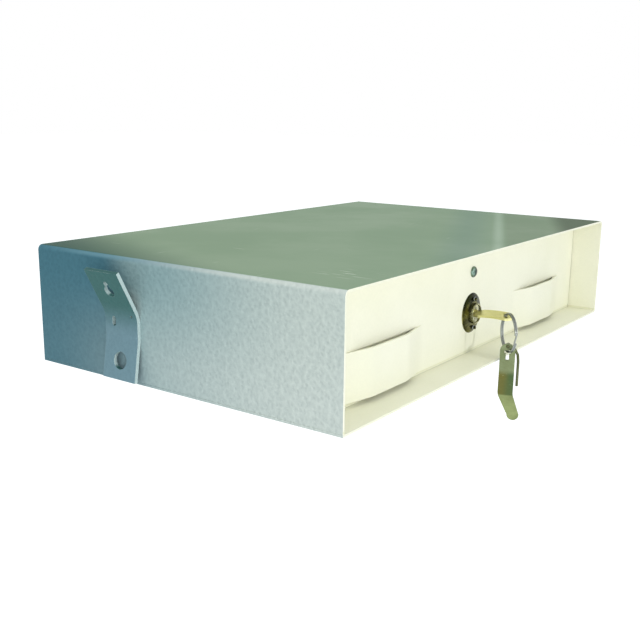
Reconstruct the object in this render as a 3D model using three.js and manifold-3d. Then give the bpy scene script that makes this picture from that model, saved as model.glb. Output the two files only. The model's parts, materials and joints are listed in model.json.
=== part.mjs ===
// Under desk drawer safe: a folded steel case, a drawer on roller runners, a keyed slide bolt,
// two bent mounting straps, and two keys on a split ring.
// Millimetres, +Z up. The origin is the centre of the case's top face, the drawer opens towards -Y.
import * as THREE from 'three';
import { mergeVertices } from 'three/addons/utils/BufferGeometryUtils.js';
import Module from 'manifold-3d';

const wasm = await Module();
wasm.setup();

// Driving sizes of the case
const CASE_WIDTH = 490;
const CASE_DEPTH = 310;
const CASE_HEIGHT = 100;
const CASE_SHEET = 2;
const CASE_BEND = 2.5;
const RECESS_DEPTH = 30;
const REAR_FLANGE = 12;
const WELD_CLEARANCE = 0.5;
const FIT = 0.3;

// Driving sizes of the drawer
const DRAWER_SIDE_GAP = 1;
const DRAWER_TOP_GAP = 1.5;
const DRAWER_FOOT_GAP = 3;
const FRONT_SHEET = 2;
const TRAY_SHEET = 1.5;
const TRAY_BEND = 1.5;
const TRAY_REAR_GAP = 28;
const TRAY_FOOT_GAP = 4;
const TRAY_TOP_GAP = 18;
const RUNNER_SPACE = 12.5;

// Driving sizes of the finger pulls, which are lanced and pushed out of the drawer front
const PULL_INNER = 90;
const PULL_OUTER = 203;
const PULL_RAMP = 31;
const PULL_PROUD = 7;
const PULL_HEIGHT = 38.5;
const PULL_BEND = 110;
const PULL_ROOT = 0.5;

// Driving sizes of the mounting straps
const STRAP_WIDTH = 36;
const STRAP_FRONT_Y = 35;
const STRAP_SHEET = 3;
const STRAP_TOP_GAP = 8;
const STRAP_FOOT_GAP = 3;
const STRAP_FOOT_STANDOFF = 5;
const STRAP_SEAT_RISE = 36;
const STRAP_SEAT_LENGTH = 19;
const STRAP_LEAN = 19.5;
const STRAP_BEND = 24;
const STRAP_HOLE_RADIUS = 7;
const STRAP_HOLE_RISE = 18.5;
const KEYHOLE_RADIUS = 4.8;
const KEYHOLE_SLOT_RADIUS = 2.2;
const KEYHOLE_SLOT_LENGTH = 7;
const KEYHOLE_DROP = 24.5;
const STRAP_SLOT_WIDTH = 3.8;
const STRAP_SLOT_LENGTH = 8;
const STRAP_SLOT_OFFSET = 8;
const STRAP_SLOT_DROP = 6;
const STRAP_PILOT_RADIUS = 1;
const STRAP_PILOT_INSET = 5.5;

// Driving sizes of the roller runners
const RAIL_SHEET = 1.5;
const RAIL_HEIGHT = 22;
const RAIL_RISE = 18;
const RAIL_DEPTH = 10;
const RAIL_FRONT_INSET = 5;
const RAIL_REAR_INSET = 15;
const DRAWER_RAIL_FLANGE = 8;
const DRAWER_RAIL_FRONT_INSET = 2;
const DRAWER_RAIL_REAR_INSET = 3;
const WHEEL_RADIUS = 8.7;
const WHEEL_WIDTH = 6;
const WHEEL_SIDE_GAP = 2;
const WHEEL_HUB_WALL = 1.3;
const WHEEL_RIM_WALL = 1.9;
const WHEEL_WEB_INSET = 1;
const WHEEL_EDGE = 0.5;
const WHEEL_SETBACK = 17;
const WHEEL_REAR_INSET = 13;
const AXLE_RADIUS = 2.5;
const AXLE_HEAD_RADIUS = 3.8;
const AXLE_HEAD = 0.8;
const AXLE_TAIL_RADIUS = 3.2;

// Driving sizes of the lock
const LOCK_WIDTH = 64;
const LOCK_TOP_GAP = 20;
const LOCK_FOOT_GAP = 14;
const LOCK_DROP = 22;
const LOCK_DEPTH = 24;
const LOCK_SHEET = 1.5;
const ROTOR_RADIUS = 7.5;
const ROTOR_PROUD = 5;
const ROTOR_END_WALL = 1.5;
const BARREL_WALL = 1.2;
const BARREL_PROUD = 6;
const BARREL_FLANGE_RADIUS = 12.5;
const BARREL_FLANGE = 2;
const ROSE_RADIUS = 17.5;
const ROSE_EDGE = 1;
const ROSE_CROWN = 2.6;
const ROSE_RIVET_OFFSET = 13;
const ROSE_RIVET_RADIUS = 1;
const ROSE_RIVET_HEAD_RADIUS = 1.9;
const CRANK_RADIUS = 5.5;
const CRANK_PIN_RADIUS = 1.5;
const CRANK_TURN = Math.PI / 2;
const YOKE_PLAY = 0.45;
const BOLT_HEAD_WIDTH = 18;
const BOLT_HEAD_DEPTH = 12.2;
const BOLT_HEAD_LENGTH = 25;
const BOLT_REST_RISE = 5;
const BOLT_LEAD = 2;
const BOLT_LAP = 3;
const BOLT_TAIL_WIDTH = 28;
const BOLT_TAIL_SHEET = 3.2;
const BOLT_TAIL_DROP = 13;
const GUIDE_RADIUS = 2.2;
const GUIDE_LENGTH = 5;
const GUIDE_RISE = 12;
const GUIDE_FALL = 8;
const WAFER_COUNT = 4;
const WAFER_SHEET = 1;
const WAFER_WIDTH = 13.4;
const WAFER_HEIGHT = 5.6;
const WAFER_PITCH = 5.5;
const STRIKE_WIDTH = 40;
const STRIKE_SHEET = 2;
const STRIKE_DROP = 12;
const STRIKE_FOOT = 16;
const SCREW_DROP = 3;
const SCREW_RADIUS = 2.5;
const SCREW_HEAD_RADIUS = 5;
const SCREW_HEAD = 3;

// Driving sizes of the keys and their ring
const KEY_TILT = Math.PI / 15;
const BLADE_WIDTH = 10;
const BLADE_TAPER = 2;
const KEY_CUT_DEPTHS = [1.1, 1.6, 0.6, 1.1];
const KEY_SHEET = 2.2;
const BOW_WIDTH = 13;
const BOW_LENGTH = 33.7;
const BOW_ARCH = 3;
const BOW_TIP_RISE = 0.8;
const RING_HOLE_RADIUS = 3;
const RING_HOLE_INSET = 7.5;
const RING_RADIUS = 16.5;
const RING_WIRE = 0.75;
const RING_TURN_PITCH = 1.4;
const RING_HEADING = Math.PI / 4;
const RING_SETOVER = 11.5;
const SPARE_HEADING = Math.PI / 9;
const SPARE_CROWN = 7;
const SPARE_SLOT_WIDTH = 5.4;
const SPARE_STEM_WIDTH = 2.8;
const SPARE_MOUTH_LENGTH = 3.2;
const SPARE_SLOT_LENGTH = 8.8;
const SPARE_FIRST_FOLD = -21;
const SPARE_SECOND_FOLD = -38;
const SPARE_LENGTH = 63;
const SPARE_KINK = 0.38;
const SPARE_TIP_RADIUS = 5.2;
const SPARE_FOLD_ANGLE = 0.14;
const SPARE_LAP = 0.4;
const SHANK_RADIUS = 1.2;
const SHANK_PIVOT_RISE = 4.7;
const SHANK_EYE_RADIUS = 2.2;
const SHANK_PIN_RADIUS = 0.8;
const SHANK_ROUTE = [[0.8, SHANK_PIVOT_RISE], [5.5, 2.6], [8.6, -3], [9.2, -9], [9.2, -31]];

// Segments round a turned piece, by its size
const FINE = 36;
const MEDIUM = 24;
const COARSE = 16;
const SLOT_STEPS = 6;

// How far a cutting tool runs past the piece that it cuts
const OVERRUN = 1;

// Places worked out from the driving sizes
const SIDE_X = CASE_WIDTH / 2;
const INNER_X = SIDE_X - CASE_SHEET;
const FRONT_Y = -CASE_DEPTH / 2;
const REAR_Y = CASE_DEPTH / 2;
const FLOOR_TOP = -CASE_HEIGHT + CASE_SHEET;
const DRAWER_Y = FRONT_Y + RECESS_DEPTH;
const DRAWER_X = INNER_X - DRAWER_SIDE_GAP;
const DRAWER_FOOT = FLOOR_TOP + DRAWER_FOOT_GAP;
const TRAY_Y = DRAWER_Y + FRONT_SHEET;
const TRAY_REAR_Y = REAR_Y - CASE_SHEET - TRAY_REAR_GAP;
const TRAY_X = INNER_X - RUNNER_SPACE;
const TRAY_FOOT = FLOOR_TOP + TRAY_FOOT_GAP;
const COVER_Y = TRAY_Y + TRAY_SHEET;
const LOCK_CASE_Y = COVER_Y + LOCK_SHEET;
const LOCK_REAR_Y = COVER_Y + LOCK_DEPTH;
const LOCK_WALL_Y = LOCK_REAR_Y - LOCK_SHEET;
const INSIDE_TOP = -CASE_SHEET;
const LOCK_TOP = INSIDE_TOP - LOCK_TOP_GAP;
const LOCK_FOOT = FLOOR_TOP + LOCK_FOOT_GAP;
const LOCK_Z = LOCK_FOOT + LOCK_DROP;
const SCREW_Z = LOCK_TOP - SCREW_DROP;
const BARREL_BORE = ROTOR_RADIUS + FIT;
const BARREL_RADIUS = BARREL_BORE + BARREL_WALL;
const BARREL_HOLE = BARREL_RADIUS + FIT;
const BOLT_REAR_Y = LOCK_WALL_Y - FIT;
const BOLT_TAIL_Y = BOLT_REAR_Y - BOLT_TAIL_SHEET;
const BOLT_HEAD_Y = BOLT_REAR_Y - BOLT_HEAD_DEPTH;
const ROTOR_REAR_Y = BOLT_TAIL_Y - 1;
const ROTOR_FRONT_Y = DRAWER_Y - ROTOR_PROUD;
const BLADE_END_Y = ROTOR_REAR_Y - ROTOR_END_WALL - 2 * FIT;
const BARREL_FRONT_Y = DRAWER_Y - BARREL_PROUD;
const STRIKE_Y = BOLT_HEAD_Y - FIT - STRIKE_SHEET;
const SHOULDER_Y = BARREL_FRONT_Y - FIT;
const BOW_TIP_Y = SHOULDER_Y - BOW_LENGTH;
const HOLE_Y = BOW_TIP_Y + RING_HOLE_INSET;
const TRAY_TOP_Z = INSIDE_TOP - TRAY_TOP_GAP;
const PULL_SLIT_Z = DRAWER_FOOT + PULL_HEIGHT;
const RAIL_Z = FLOOR_TOP + RAIL_RISE;
const STRAP_Y = STRAP_FRONT_Y + STRAP_WIDTH / 2;
const STRAP_SEAT_LOW = -CASE_HEIGHT + STRAP_SEAT_RISE;
const STRAP_SEAT_HIGH = STRAP_SEAT_LOW + STRAP_SEAT_LENGTH;
const STRAP_HOLE_Z = -CASE_HEIGHT + STRAP_HOLE_RISE;
const KEYHOLE_Z = -KEYHOLE_DROP;
const CASE_RAIL_Y = TRAY_Y + RAIL_FRONT_INSET;
const WHEEL_X = TRAY_X + RAIL_SHEET + WHEEL_SIDE_GAP;

// Makes a shape from pairs of numbers
function outline(pairs) {
  return new THREE.Shape(pairs.map(([a, b]) => new THREE.Vector2(a, b)));
}

// Turns the faces of a closed geometry outwards and keeps only its positions
function closed(geometry) {
  const bare = geometry.clone();
  bare.deleteAttribute('normal');
  bare.deleteAttribute('uv');
  const merged = mergeVertices(bare, 1e-4);
  const place = merged.attributes.position;
  const index = merged.index.array;
  const [a, b, c] = [new THREE.Vector3(), new THREE.Vector3(), new THREE.Vector3()];
  let volume = 0;
  const kept = [];
  for (let i = 0; i < index.length; i += 3) {
    const [p, q, r] = [index[i], index[i + 1], index[i + 2]];
    if (p === q || q === r || r === p) continue;
    a.fromBufferAttribute(place, p);
    b.fromBufferAttribute(place, q);
    c.fromBufferAttribute(place, r);
    volume += a.dot(b.cross(c));
    kept.push(p, q, r);
  }
  if (volume < 0) kept.reverse();
  merged.setIndex(kept);
  return merged;
}

// Makes a boolean solid of a closed geometry
function solid(geometry) {
  const body = closed(geometry);
  return new wasm.Manifold(new wasm.Mesh({
    numProp: 3,
    vertProperties: new Float32Array(body.attributes.position.array),
    triVerts: new Uint32Array(body.index.array),
  }));
}

// Makes a geometry of a boolean solid
function geometryOf(body) {
  const result = body.getMesh();
  const geometry = new THREE.BufferGeometry();
  geometry.setAttribute('position', new THREE.BufferAttribute(result.vertProperties, 3));
  geometry.setIndex(new THREE.BufferAttribute(result.triVerts, 1));
  return geometry;
}

function join(...pieces) {
  return geometryOf(pieces.map(solid).reduce((sum, piece) => sum.add(piece)));
}

function cut(piece, ...tools) {
  return geometryOf(tools.map(solid).reduce((rest, tool) => rest.subtract(tool), solid(piece)));
}

function overlap(piece, other) {
  return geometryOf(solid(piece).intersect(solid(other)));
}

function extruded(shape, depth, curveSegments) {
  return new THREE.ExtrudeGeometry(shape, { depth, bevelEnabled: false, curveSegments });
}

// Extrudes a shape, whose axes are X and Z, from one Y to another
function alongY(shape, from, to, curveSegments = COARSE) {
  return extruded(shape, to - from, curveSegments).rotateX(Math.PI / 2).translate(0, to, 0);
}

// Extrudes a shape, whose axes are X and Y, from one Z to another
function alongZ(shape, from, to, curveSegments = COARSE) {
  return extruded(shape, to - from, curveSegments).translate(0, 0, from);
}

// Extrudes a shape, whose axes are Y and Z, from one X to another
function alongX(shape, from, to, curveSegments = COARSE) {
  const turn = new THREE.Matrix4().makeBasis(
    new THREE.Vector3(0, 1, 0),
    new THREE.Vector3(0, 0, 1),
    new THREE.Vector3(1, 0, 0),
  );
  return extruded(shape, to - from, curveSegments).applyMatrix4(turn).translate(from, 0, 0);
}

function block(x0, x1, y0, y1, z0, z1) {
  const geometry = new THREE.BoxGeometry(x1 - x0, y1 - y0, z1 - z0);
  return geometry.translate((x0 + x1) / 2, (y0 + y1) / 2, (z0 + z1) / 2);
}

// A round bar along Y, centred on x and z
function barY(radius, x, z, y0, y1, segments = MEDIUM) {
  const bar = new THREE.CylinderGeometry(radius, radius, y1 - y0, segments);
  return bar.translate(x, (y0 + y1) / 2, z);
}

function barX(radius, y, z, x0, x1, segments = MEDIUM) {
  const bar = new THREE.CylinderGeometry(radius, radius, Math.abs(x1 - x0), segments);
  return bar.rotateZ(Math.PI / 2).translate((x0 + x1) / 2, y, z);
}

function barZ(radius, x, y, z0, z1, segments = MEDIUM) {
  const bar = new THREE.CylinderGeometry(radius, radius, z1 - z0, segments);
  return bar.rotateX(Math.PI / 2).translate(x, y, (z0 + z1) / 2);
}

// Revolves pairs of radius and Y about an axis along Y through x and z
function turnedY(pairs, x, z, segments = FINE) {
  const points = pairs.map(([radius, y]) => new THREE.Vector2(radius, y));
  return new THREE.LatheGeometry(points, segments).translate(x, 0, z);
}

// Revolves pairs of radius and X about an axis along X through y and z
function turnedX(pairs, y, z, segments = MEDIUM) {
  const points = pairs.map(([radius, x]) => new THREE.Vector2(radius, -x));
  return new THREE.LatheGeometry(points, segments).rotateZ(Math.PI / 2).translate(0, y, z);
}

// Outline of a folded sheet, from the corners of its middle line and the middle radius of its bends
function foldedSheet(corners, thickness, radius, steps = 5) {
  const points = corners.map(([a, b]) => new THREE.Vector2(a, b));
  const half = thickness / 2;
  const near = [];
  const far = [];
  const side = (from, to) => {
    const along = to.clone().sub(from).normalize();
    return new THREE.Vector2(-along.y, along.x);
  };
  const put = (place, normal) => {
    near.push(place.clone().addScaledVector(normal, half));
    far.push(place.clone().addScaledVector(normal, -half));
  };
  put(points[0], side(points[0], points[1]));
  for (let i = 1; i < points.length - 1; i += 1) {
    const before = side(points[i - 1], points[i]);
    const after = side(points[i], points[i + 1]);
    const turn = Math.atan2(before.cross(after), before.dot(after));
    const reach = radius * Math.tan(Math.abs(turn) / 2);
    const back = points[i - 1].clone().sub(points[i]).normalize();
    const start = points[i].clone().addScaledVector(back, reach);
    const centre = start.clone().addScaledVector(before, Math.sign(turn) * radius);
    for (let step = 0; step <= steps; step += 1) {
      const normal = before.clone().rotateAround(new THREE.Vector2(), (turn * step) / steps);
      put(centre.clone().addScaledVector(normal, -Math.sign(turn) * radius), normal);
    }
  }
  const last = points.length - 1;
  put(points[last], side(points[last - 1], points[last]));
  return new THREE.Shape([...near, ...far.reverse()]);
}

function mirrored(geometry) {
  return closed(geometry.clone().scale(-1, 1, 1));
}

const safe = new THREE.Group();

function add(name, geometry, colour, roughness, metalness) {
  const material = new THREE.MeshStandardMaterial({ color: colour, roughness, metalness, flatShading: true });
  const mesh = new THREE.Mesh(closed(geometry), material);
  mesh.name = name;
  safe.add(mesh);
  return mesh;
}

// Adds a piece for the right side and its mirror image for the left
function addPair(name, geometry, colour, roughness, metalness) {
  add(`right_${name}`, geometry, colour, roughness, metalness);
  add(`left_${name}`, mirrored(geometry), colour, roughness, metalness);
}

function caseSleeve() {
  const middle = CASE_SHEET / 2;
  const profile = foldedSheet([
    [-SIDE_X + middle, FLOOR_TOP],
    [-SIDE_X + middle, -middle],
    [SIDE_X - middle, -middle],
    [SIDE_X - middle, FLOOR_TOP],
  ], CASE_SHEET, CASE_BEND + middle);
  return alongY(profile, FRONT_Y, REAR_Y);
}

function caseFloor() {
  return block(-SIDE_X, SIDE_X, FRONT_Y, REAR_Y, -CASE_HEIGHT, FLOOR_TOP);
}

// The rear panel is a shallow pan: a plate with two flanges that are welded to the side walls
function rearPanel() {
  const chamfer = CASE_BEND + WELD_CLEARANCE;
  const plate = outline([
    [-INNER_X, FLOOR_TOP],
    [INNER_X, FLOOR_TOP],
    [INNER_X, INSIDE_TOP - chamfer],
    [INNER_X - chamfer, INSIDE_TOP],
    [-INNER_X + chamfer, INSIDE_TOP],
    [-INNER_X, INSIDE_TOP - chamfer],
  ]);
  const flangeTop = INSIDE_TOP - 2 * chamfer;
  const flangeY = REAR_Y - REAR_FLANGE;
  const right = block(INNER_X - CASE_SHEET, INNER_X, flangeY, REAR_Y, FLOOR_TOP, flangeTop);
  const left = block(-INNER_X, -INNER_X + CASE_SHEET, flangeY, REAR_Y, FLOOR_TOP, flangeTop);
  return join(alongY(plate, REAR_Y - CASE_SHEET, REAR_Y), right, left);
}

// Corners of the right strap's middle line, from its foot to its top
function strapCorners() {
  const middle = SIDE_X + STRAP_SHEET / 2;
  return [
    [middle + STRAP_FOOT_STANDOFF, -CASE_HEIGHT + STRAP_FOOT_GAP],
    [middle, STRAP_SEAT_LOW],
    [middle, STRAP_SEAT_HIGH],
    [middle + STRAP_LEAN, -STRAP_TOP_GAP],
  ];
}

// A strip that seats on the side wall, stands off at its foot and leans out at its keyhole flange
function mountingStrap() {
  const profile = foldedSheet(strapCorners(), STRAP_SHEET, STRAP_BEND);
  const strip = alongY(profile, STRAP_FRONT_Y, STRAP_FRONT_Y + STRAP_WIDTH);
  const [near, far] = [SIDE_X - OVERRUN, SIDE_X + STRAP_FOOT_STANDOFF + 2 * STRAP_SHEET];
  const hole = barX(STRAP_HOLE_RADIUS, STRAP_Y, STRAP_HOLE_Z, near, far);
  const pilotY = STRAP_FRONT_Y + STRAP_PILOT_INSET;
  const pilot = barX(STRAP_PILOT_RADIUS, pilotY, STRAP_SEAT_HIGH, near, far, COARSE);
  return cut(strip, hole, pilot, strapSlot(near, far), ...keyholeTools());
}

// A short upright slot with round ends below the top of the seat, behind the strap's middle
function strapSlot(near, far) {
  const half = STRAP_SLOT_WIDTH / 2;
  const reach = STRAP_SLOT_LENGTH / 2 - half;
  const y = STRAP_Y + STRAP_SLOT_OFFSET;
  const shape = new THREE.Shape();
  const z = STRAP_SEAT_HIGH - STRAP_SLOT_DROP;
  shape.absarc(y, z + reach, half, 0, Math.PI, false);
  shape.absarc(y, z - reach, half, Math.PI, 2 * Math.PI, false);
  return alongX(shape, near, far, SLOT_STEPS);
}

// The keyhole is cut square to the leaning flange: a round hole with a narrow slot above it
function keyholeTools() {
  const corners = strapCorners();
  const [low, high] = [corners[2], corners[3]];
  const lean = Math.atan2(high[0] - low[0], high[1] - low[1]);
  const x = low[0] + Math.tan(lean) * (KEYHOLE_Z - low[1]);
  const tool = (radius, rise) => {
    const bar = new THREE.CylinderGeometry(radius, radius, 6 * STRAP_SHEET, COARSE);
    bar.rotateZ(Math.PI / 2).translate(0, 0, rise).rotateY(lean);
    return bar.translate(x, STRAP_Y, KEYHOLE_Z);
  };
  const slot = [0.34, 0.67, 1].map((share) => tool(KEYHOLE_SLOT_RADIUS, share * KEYHOLE_SLOT_LENGTH));
  return [tool(KEYHOLE_RADIUS, 0), ...slot];
}

// The strike is an angle under the case's top, and the bolt rises behind its hanging leg
function strikePlate() {
  const middle = STRIKE_SHEET / 2;
  const profile = foldedSheet([
    [STRIKE_Y + middle, INSIDE_TOP - STRIKE_DROP],
    [STRIKE_Y + middle, INSIDE_TOP - middle],
    [STRIKE_Y + STRIKE_FOOT, INSIDE_TOP - middle],
  ], STRIKE_SHEET, STRIKE_SHEET);
  return alongX(profile, -STRIKE_WIDTH / 2, STRIKE_WIDTH / 2);
}

function caseWheelPlace() {
  return [DRAWER_Y + WHEEL_SETBACK, RAIL_Z + RAIL_HEIGHT + RAIL_SHEET - WHEEL_RADIUS - FIT];
}

function drawerWheelPlace() {
  return [TRAY_REAR_Y - WHEEL_REAR_INSET, RAIL_Z + RAIL_SHEET + FIT + WHEEL_RADIUS];
}

// A channel on the side wall, with a wheel at its front end. The drawer's rear wheel runs in it
function caseRail() {
  const middle = RAIL_SHEET / 2;
  const top = RAIL_Z + RAIL_HEIGHT;
  const profile = foldedSheet([
    [INNER_X - RAIL_DEPTH, RAIL_Z + middle],
    [INNER_X - middle, RAIL_Z + middle],
    [INNER_X - middle, top - middle],
    [INNER_X - RAIL_DEPTH, top - middle],
  ], RAIL_SHEET, RAIL_SHEET, 3);
  const [wheelY, wheelZ] = caseWheelPlace();
  const rail = alongY(profile, CASE_RAIL_Y, REAR_Y - RAIL_REAR_INSET);
  const web = INNER_X - RAIL_SHEET;
  const windowEnd = wheelY + WHEEL_RADIUS + WHEEL_SIDE_GAP;
  const window = block(0, web, CASE_RAIL_Y - OVERRUN, windowEnd, RAIL_Z + RAIL_SHEET, 0);
  const bore = barX(AXLE_RADIUS + FIT, wheelY, wheelZ, web - OVERRUN, SIDE_X, COARSE);
  return cut(rail, window, bore);
}

// An angle on the tray's wall, whose upper flange runs on the case's front wheel
function drawerRail() {
  const middle = RAIL_SHEET / 2;
  const flangeZ = RAIL_Z + RAIL_HEIGHT + RAIL_SHEET + middle;
  const [wheelY, wheelZ] = drawerWheelPlace();
  const profile = foldedSheet([
    [TRAY_X + middle, RAIL_Z],
    [TRAY_X + middle, flangeZ],
    [TRAY_X + RAIL_SHEET + DRAWER_RAIL_FLANGE, flangeZ],
  ], RAIL_SHEET, RAIL_SHEET, 3);
  const [frontY, rearY] = [TRAY_Y + DRAWER_RAIL_FRONT_INSET, TRAY_REAR_Y - DRAWER_RAIL_REAR_INSET];
  const bore = barX(AXLE_RADIUS + FIT, wheelY, wheelZ, TRAY_X - OVERRUN, WHEEL_X, COARSE);
  return cut(alongY(profile, frontY, rearY), bore);
}

// A moulded runner wheel with a crowned rim and a thinner web
function runnerWheel([y, z]) {
  const [x0, x1] = [WHEEL_X, WHEEL_X + WHEEL_WIDTH];
  const bore = AXLE_RADIUS + FIT;
  const rim = WHEEL_RADIUS - WHEEL_RIM_WALL;
  const hub = bore + WHEEL_HUB_WALL;
  return turnedX([
    [bore, x0],
    [hub, x0],
    [hub, x0 + WHEEL_WEB_INSET],
    [rim, x0 + WHEEL_WEB_INSET],
    [rim, x0],
    [WHEEL_RADIUS - WHEEL_EDGE, x0],
    [WHEEL_RADIUS, x0 + WHEEL_EDGE],
    [WHEEL_RADIUS, x1 - WHEEL_EDGE],
    [WHEEL_RADIUS - WHEEL_EDGE, x1],
    [rim, x1],
    [rim, x1 - WHEEL_WEB_INSET],
    [hub, x1 - WHEEL_WEB_INSET],
    [hub, x1],
    [bore, x1],
    [bore, x0],
  ], y, z, MEDIUM);
}

// The case's axle is riveted in the channel's web and has its head on the drawer's side
function caseAxle() {
  const [y, z] = caseWheelPlace();
  const x0 = WHEEL_X - FIT;
  return turnedX([
    [0, x0 - AXLE_HEAD],
    [AXLE_HEAD_RADIUS, x0 - AXLE_HEAD],
    [AXLE_HEAD_RADIUS, x0],
    [AXLE_RADIUS, x0],
    [AXLE_RADIUS, INNER_X - FIT],
    [0, INNER_X - FIT],
  ], y, z, COARSE);
}

function drawerAxle() {
  const [y, z] = drawerWheelPlace();
  const x1 = WHEEL_X + WHEEL_WIDTH + FIT;
  return turnedX([
    [0, TRAY_X + FIT],
    [AXLE_RADIUS, TRAY_X + FIT],
    [AXLE_RADIUS, x1],
    [AXLE_TAIL_RADIUS, x1],
    [AXLE_TAIL_RADIUS, x1 + AXLE_HEAD],
    [0, x1 + AXLE_HEAD],
  ], y, z, COARSE);
}

// Middle line of the drawer front's lower half, seen from above, with both pulls pushed out
function pullCorners() {
  const y = DRAWER_Y + FRONT_SHEET / 2;
  const proud = y - PULL_PROUD;
  return [
    [-DRAWER_X, y],
    [-PULL_OUTER, y],
    [-PULL_OUTER + PULL_RAMP, proud],
    [-PULL_INNER - PULL_RAMP, proud],
    [-PULL_INNER, y],
    [PULL_INNER, y],
    [PULL_INNER + PULL_RAMP, proud],
    [PULL_OUTER - PULL_RAMP, proud],
    [PULL_OUTER, y],
    [DRAWER_X, y],
  ];
}

function drawerFront() {
  const top = INSIDE_TOP - DRAWER_TOP_GAP;
  const upper = block(-DRAWER_X, DRAWER_X, DRAWER_Y, DRAWER_Y + FRONT_SHEET, PULL_SLIT_Z - PULL_ROOT, top);
  const lower = alongZ(foldedSheet(pullCorners(), FRONT_SHEET, PULL_BEND, 6), DRAWER_FOOT, PULL_SLIT_Z);
  return cut(join(upper, lower), ...frontHoles(DRAWER_Y - OVERRUN, TRAY_Y + OVERRUN));
}

// The holes that the lock's barrel, screw and rose rivets pass through
function frontHoles(y0, y1) {
  return [
    barY(BARREL_HOLE, 0, LOCK_Z, y0, y1, FINE),
    barY(SCREW_RADIUS + FIT, 0, SCREW_Z, y0, y1, COARSE),
    barY(ROSE_RIVET_RADIUS + FIT, 0, LOCK_Z + ROSE_RIVET_OFFSET, y0, y1, COARSE),
    barY(ROSE_RIVET_RADIUS + FIT, 0, LOCK_Z - ROSE_RIVET_OFFSET, y0, y1, COARSE),
  ];
}

// The tray's floor and sides are one folded sheet
function drawerTray() {
  const middle = TRAY_SHEET / 2;
  const profile = foldedSheet([
    [-TRAY_X + middle, TRAY_TOP_Z],
    [-TRAY_X + middle, TRAY_FOOT + middle],
    [TRAY_X - middle, TRAY_FOOT + middle],
    [TRAY_X - middle, TRAY_TOP_Z],
  ], TRAY_SHEET, TRAY_BEND + middle);
  return alongY(profile, TRAY_Y + TRAY_SHEET, TRAY_REAR_Y - TRAY_SHEET);
}

// A plate that closes one end of the tray, from its outer face to its inner face
function trayWall(y0, y1) {
  const chamfer = TRAY_BEND;
  const plate = outline([
    [-TRAY_X, TRAY_TOP_Z],
    [-TRAY_X, TRAY_FOOT + chamfer + TRAY_SHEET],
    [-TRAY_X + chamfer + TRAY_SHEET, TRAY_FOOT],
    [TRAY_X - chamfer - TRAY_SHEET, TRAY_FOOT],
    [TRAY_X, TRAY_FOOT + chamfer + TRAY_SHEET],
    [TRAY_X, TRAY_TOP_Z],
  ]);
  return alongY(plate, y0, y1);
}

function trayFrontWall() {
  const wall = trayWall(TRAY_Y, COVER_Y);
  return cut(wall, ...frontHoles(TRAY_Y - OVERRUN, COVER_Y + OVERRUN));
}

function lockCover() {
  const half = LOCK_WIDTH / 2;
  const plate = block(-half, half, COVER_Y, LOCK_CASE_Y, LOCK_FOOT, LOCK_TOP);
  const [y0, y1] = [COVER_Y - OVERRUN, LOCK_CASE_Y + OVERRUN];
  const screwHole = barY(SCREW_RADIUS + FIT, 0, SCREW_Z, y0, y1, COARSE);
  return cut(plate, barY(BARREL_HOLE, 0, LOCK_Z, y0, y1, FINE), screwHole);
}

// The lock's case is a pan whose top wall lets the bolt's head through and whose pegs guide its tail
function lockCase() {
  const half = LOCK_WIDTH / 2;
  const shell = block(-half, half, LOCK_CASE_Y, LOCK_REAR_Y, LOCK_FOOT, LOCK_TOP);
  const inside = block(
    -half + LOCK_SHEET,
    half - LOCK_SHEET,
    LOCK_CASE_Y - OVERRUN,
    LOCK_WALL_Y,
    LOCK_FOOT + LOCK_SHEET,
    LOCK_TOP - LOCK_SHEET,
  );
  const reach = BOLT_HEAD_WIDTH / 2 + FIT;
  const mouthFoot = LOCK_TOP - LOCK_SHEET - OVERRUN;
  const mouth = block(-reach, reach, BOLT_HEAD_Y - FIT, LOCK_WALL_Y, mouthFoot, LOCK_TOP + OVERRUN);
  const pegX = BOLT_TAIL_WIDTH / 2 + FIT + GUIDE_RADIUS;
  const pegs = [];
  for (const x of [-pegX, pegX]) {
    for (const z of [LOCK_Z + GUIDE_RISE, LOCK_Z - GUIDE_FALL]) {
      const [y0, y1] = [LOCK_WALL_Y - GUIDE_LENGTH, LOCK_WALL_Y + LOCK_SHEET / 2];
      pegs.push(barY(GUIDE_RADIUS, x, z, y0, y1, COARSE));
    }
  }
  return join(cut(shell, inside, mouth), ...pegs);
}

// The barrel holds the rotor. Its flange seats behind the cover and its rolled rim stands out of the rose
function lockBarrel() {
  const rim = BARREL_RADIUS;
  return turnedY([
    [BARREL_BORE, ROTOR_REAR_Y - FIT],
    [BARREL_BORE, BARREL_FRONT_Y + 0.4],
    [BARREL_BORE + 0.4, BARREL_FRONT_Y],
    [rim - 0.5, BARREL_FRONT_Y],
    [rim, BARREL_FRONT_Y + 0.5],
    [rim, LOCK_CASE_Y],
    [BARREL_FLANGE_RADIUS, LOCK_CASE_Y],
    [BARREL_FLANGE_RADIUS, LOCK_CASE_Y + BARREL_FLANGE],
    [rim, LOCK_CASE_Y + BARREL_FLANGE],
    [rim, ROTOR_REAR_Y - FIT],
    [BARREL_BORE, ROTOR_REAR_Y - FIT],
  ], 0, LOCK_Z);
}

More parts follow.
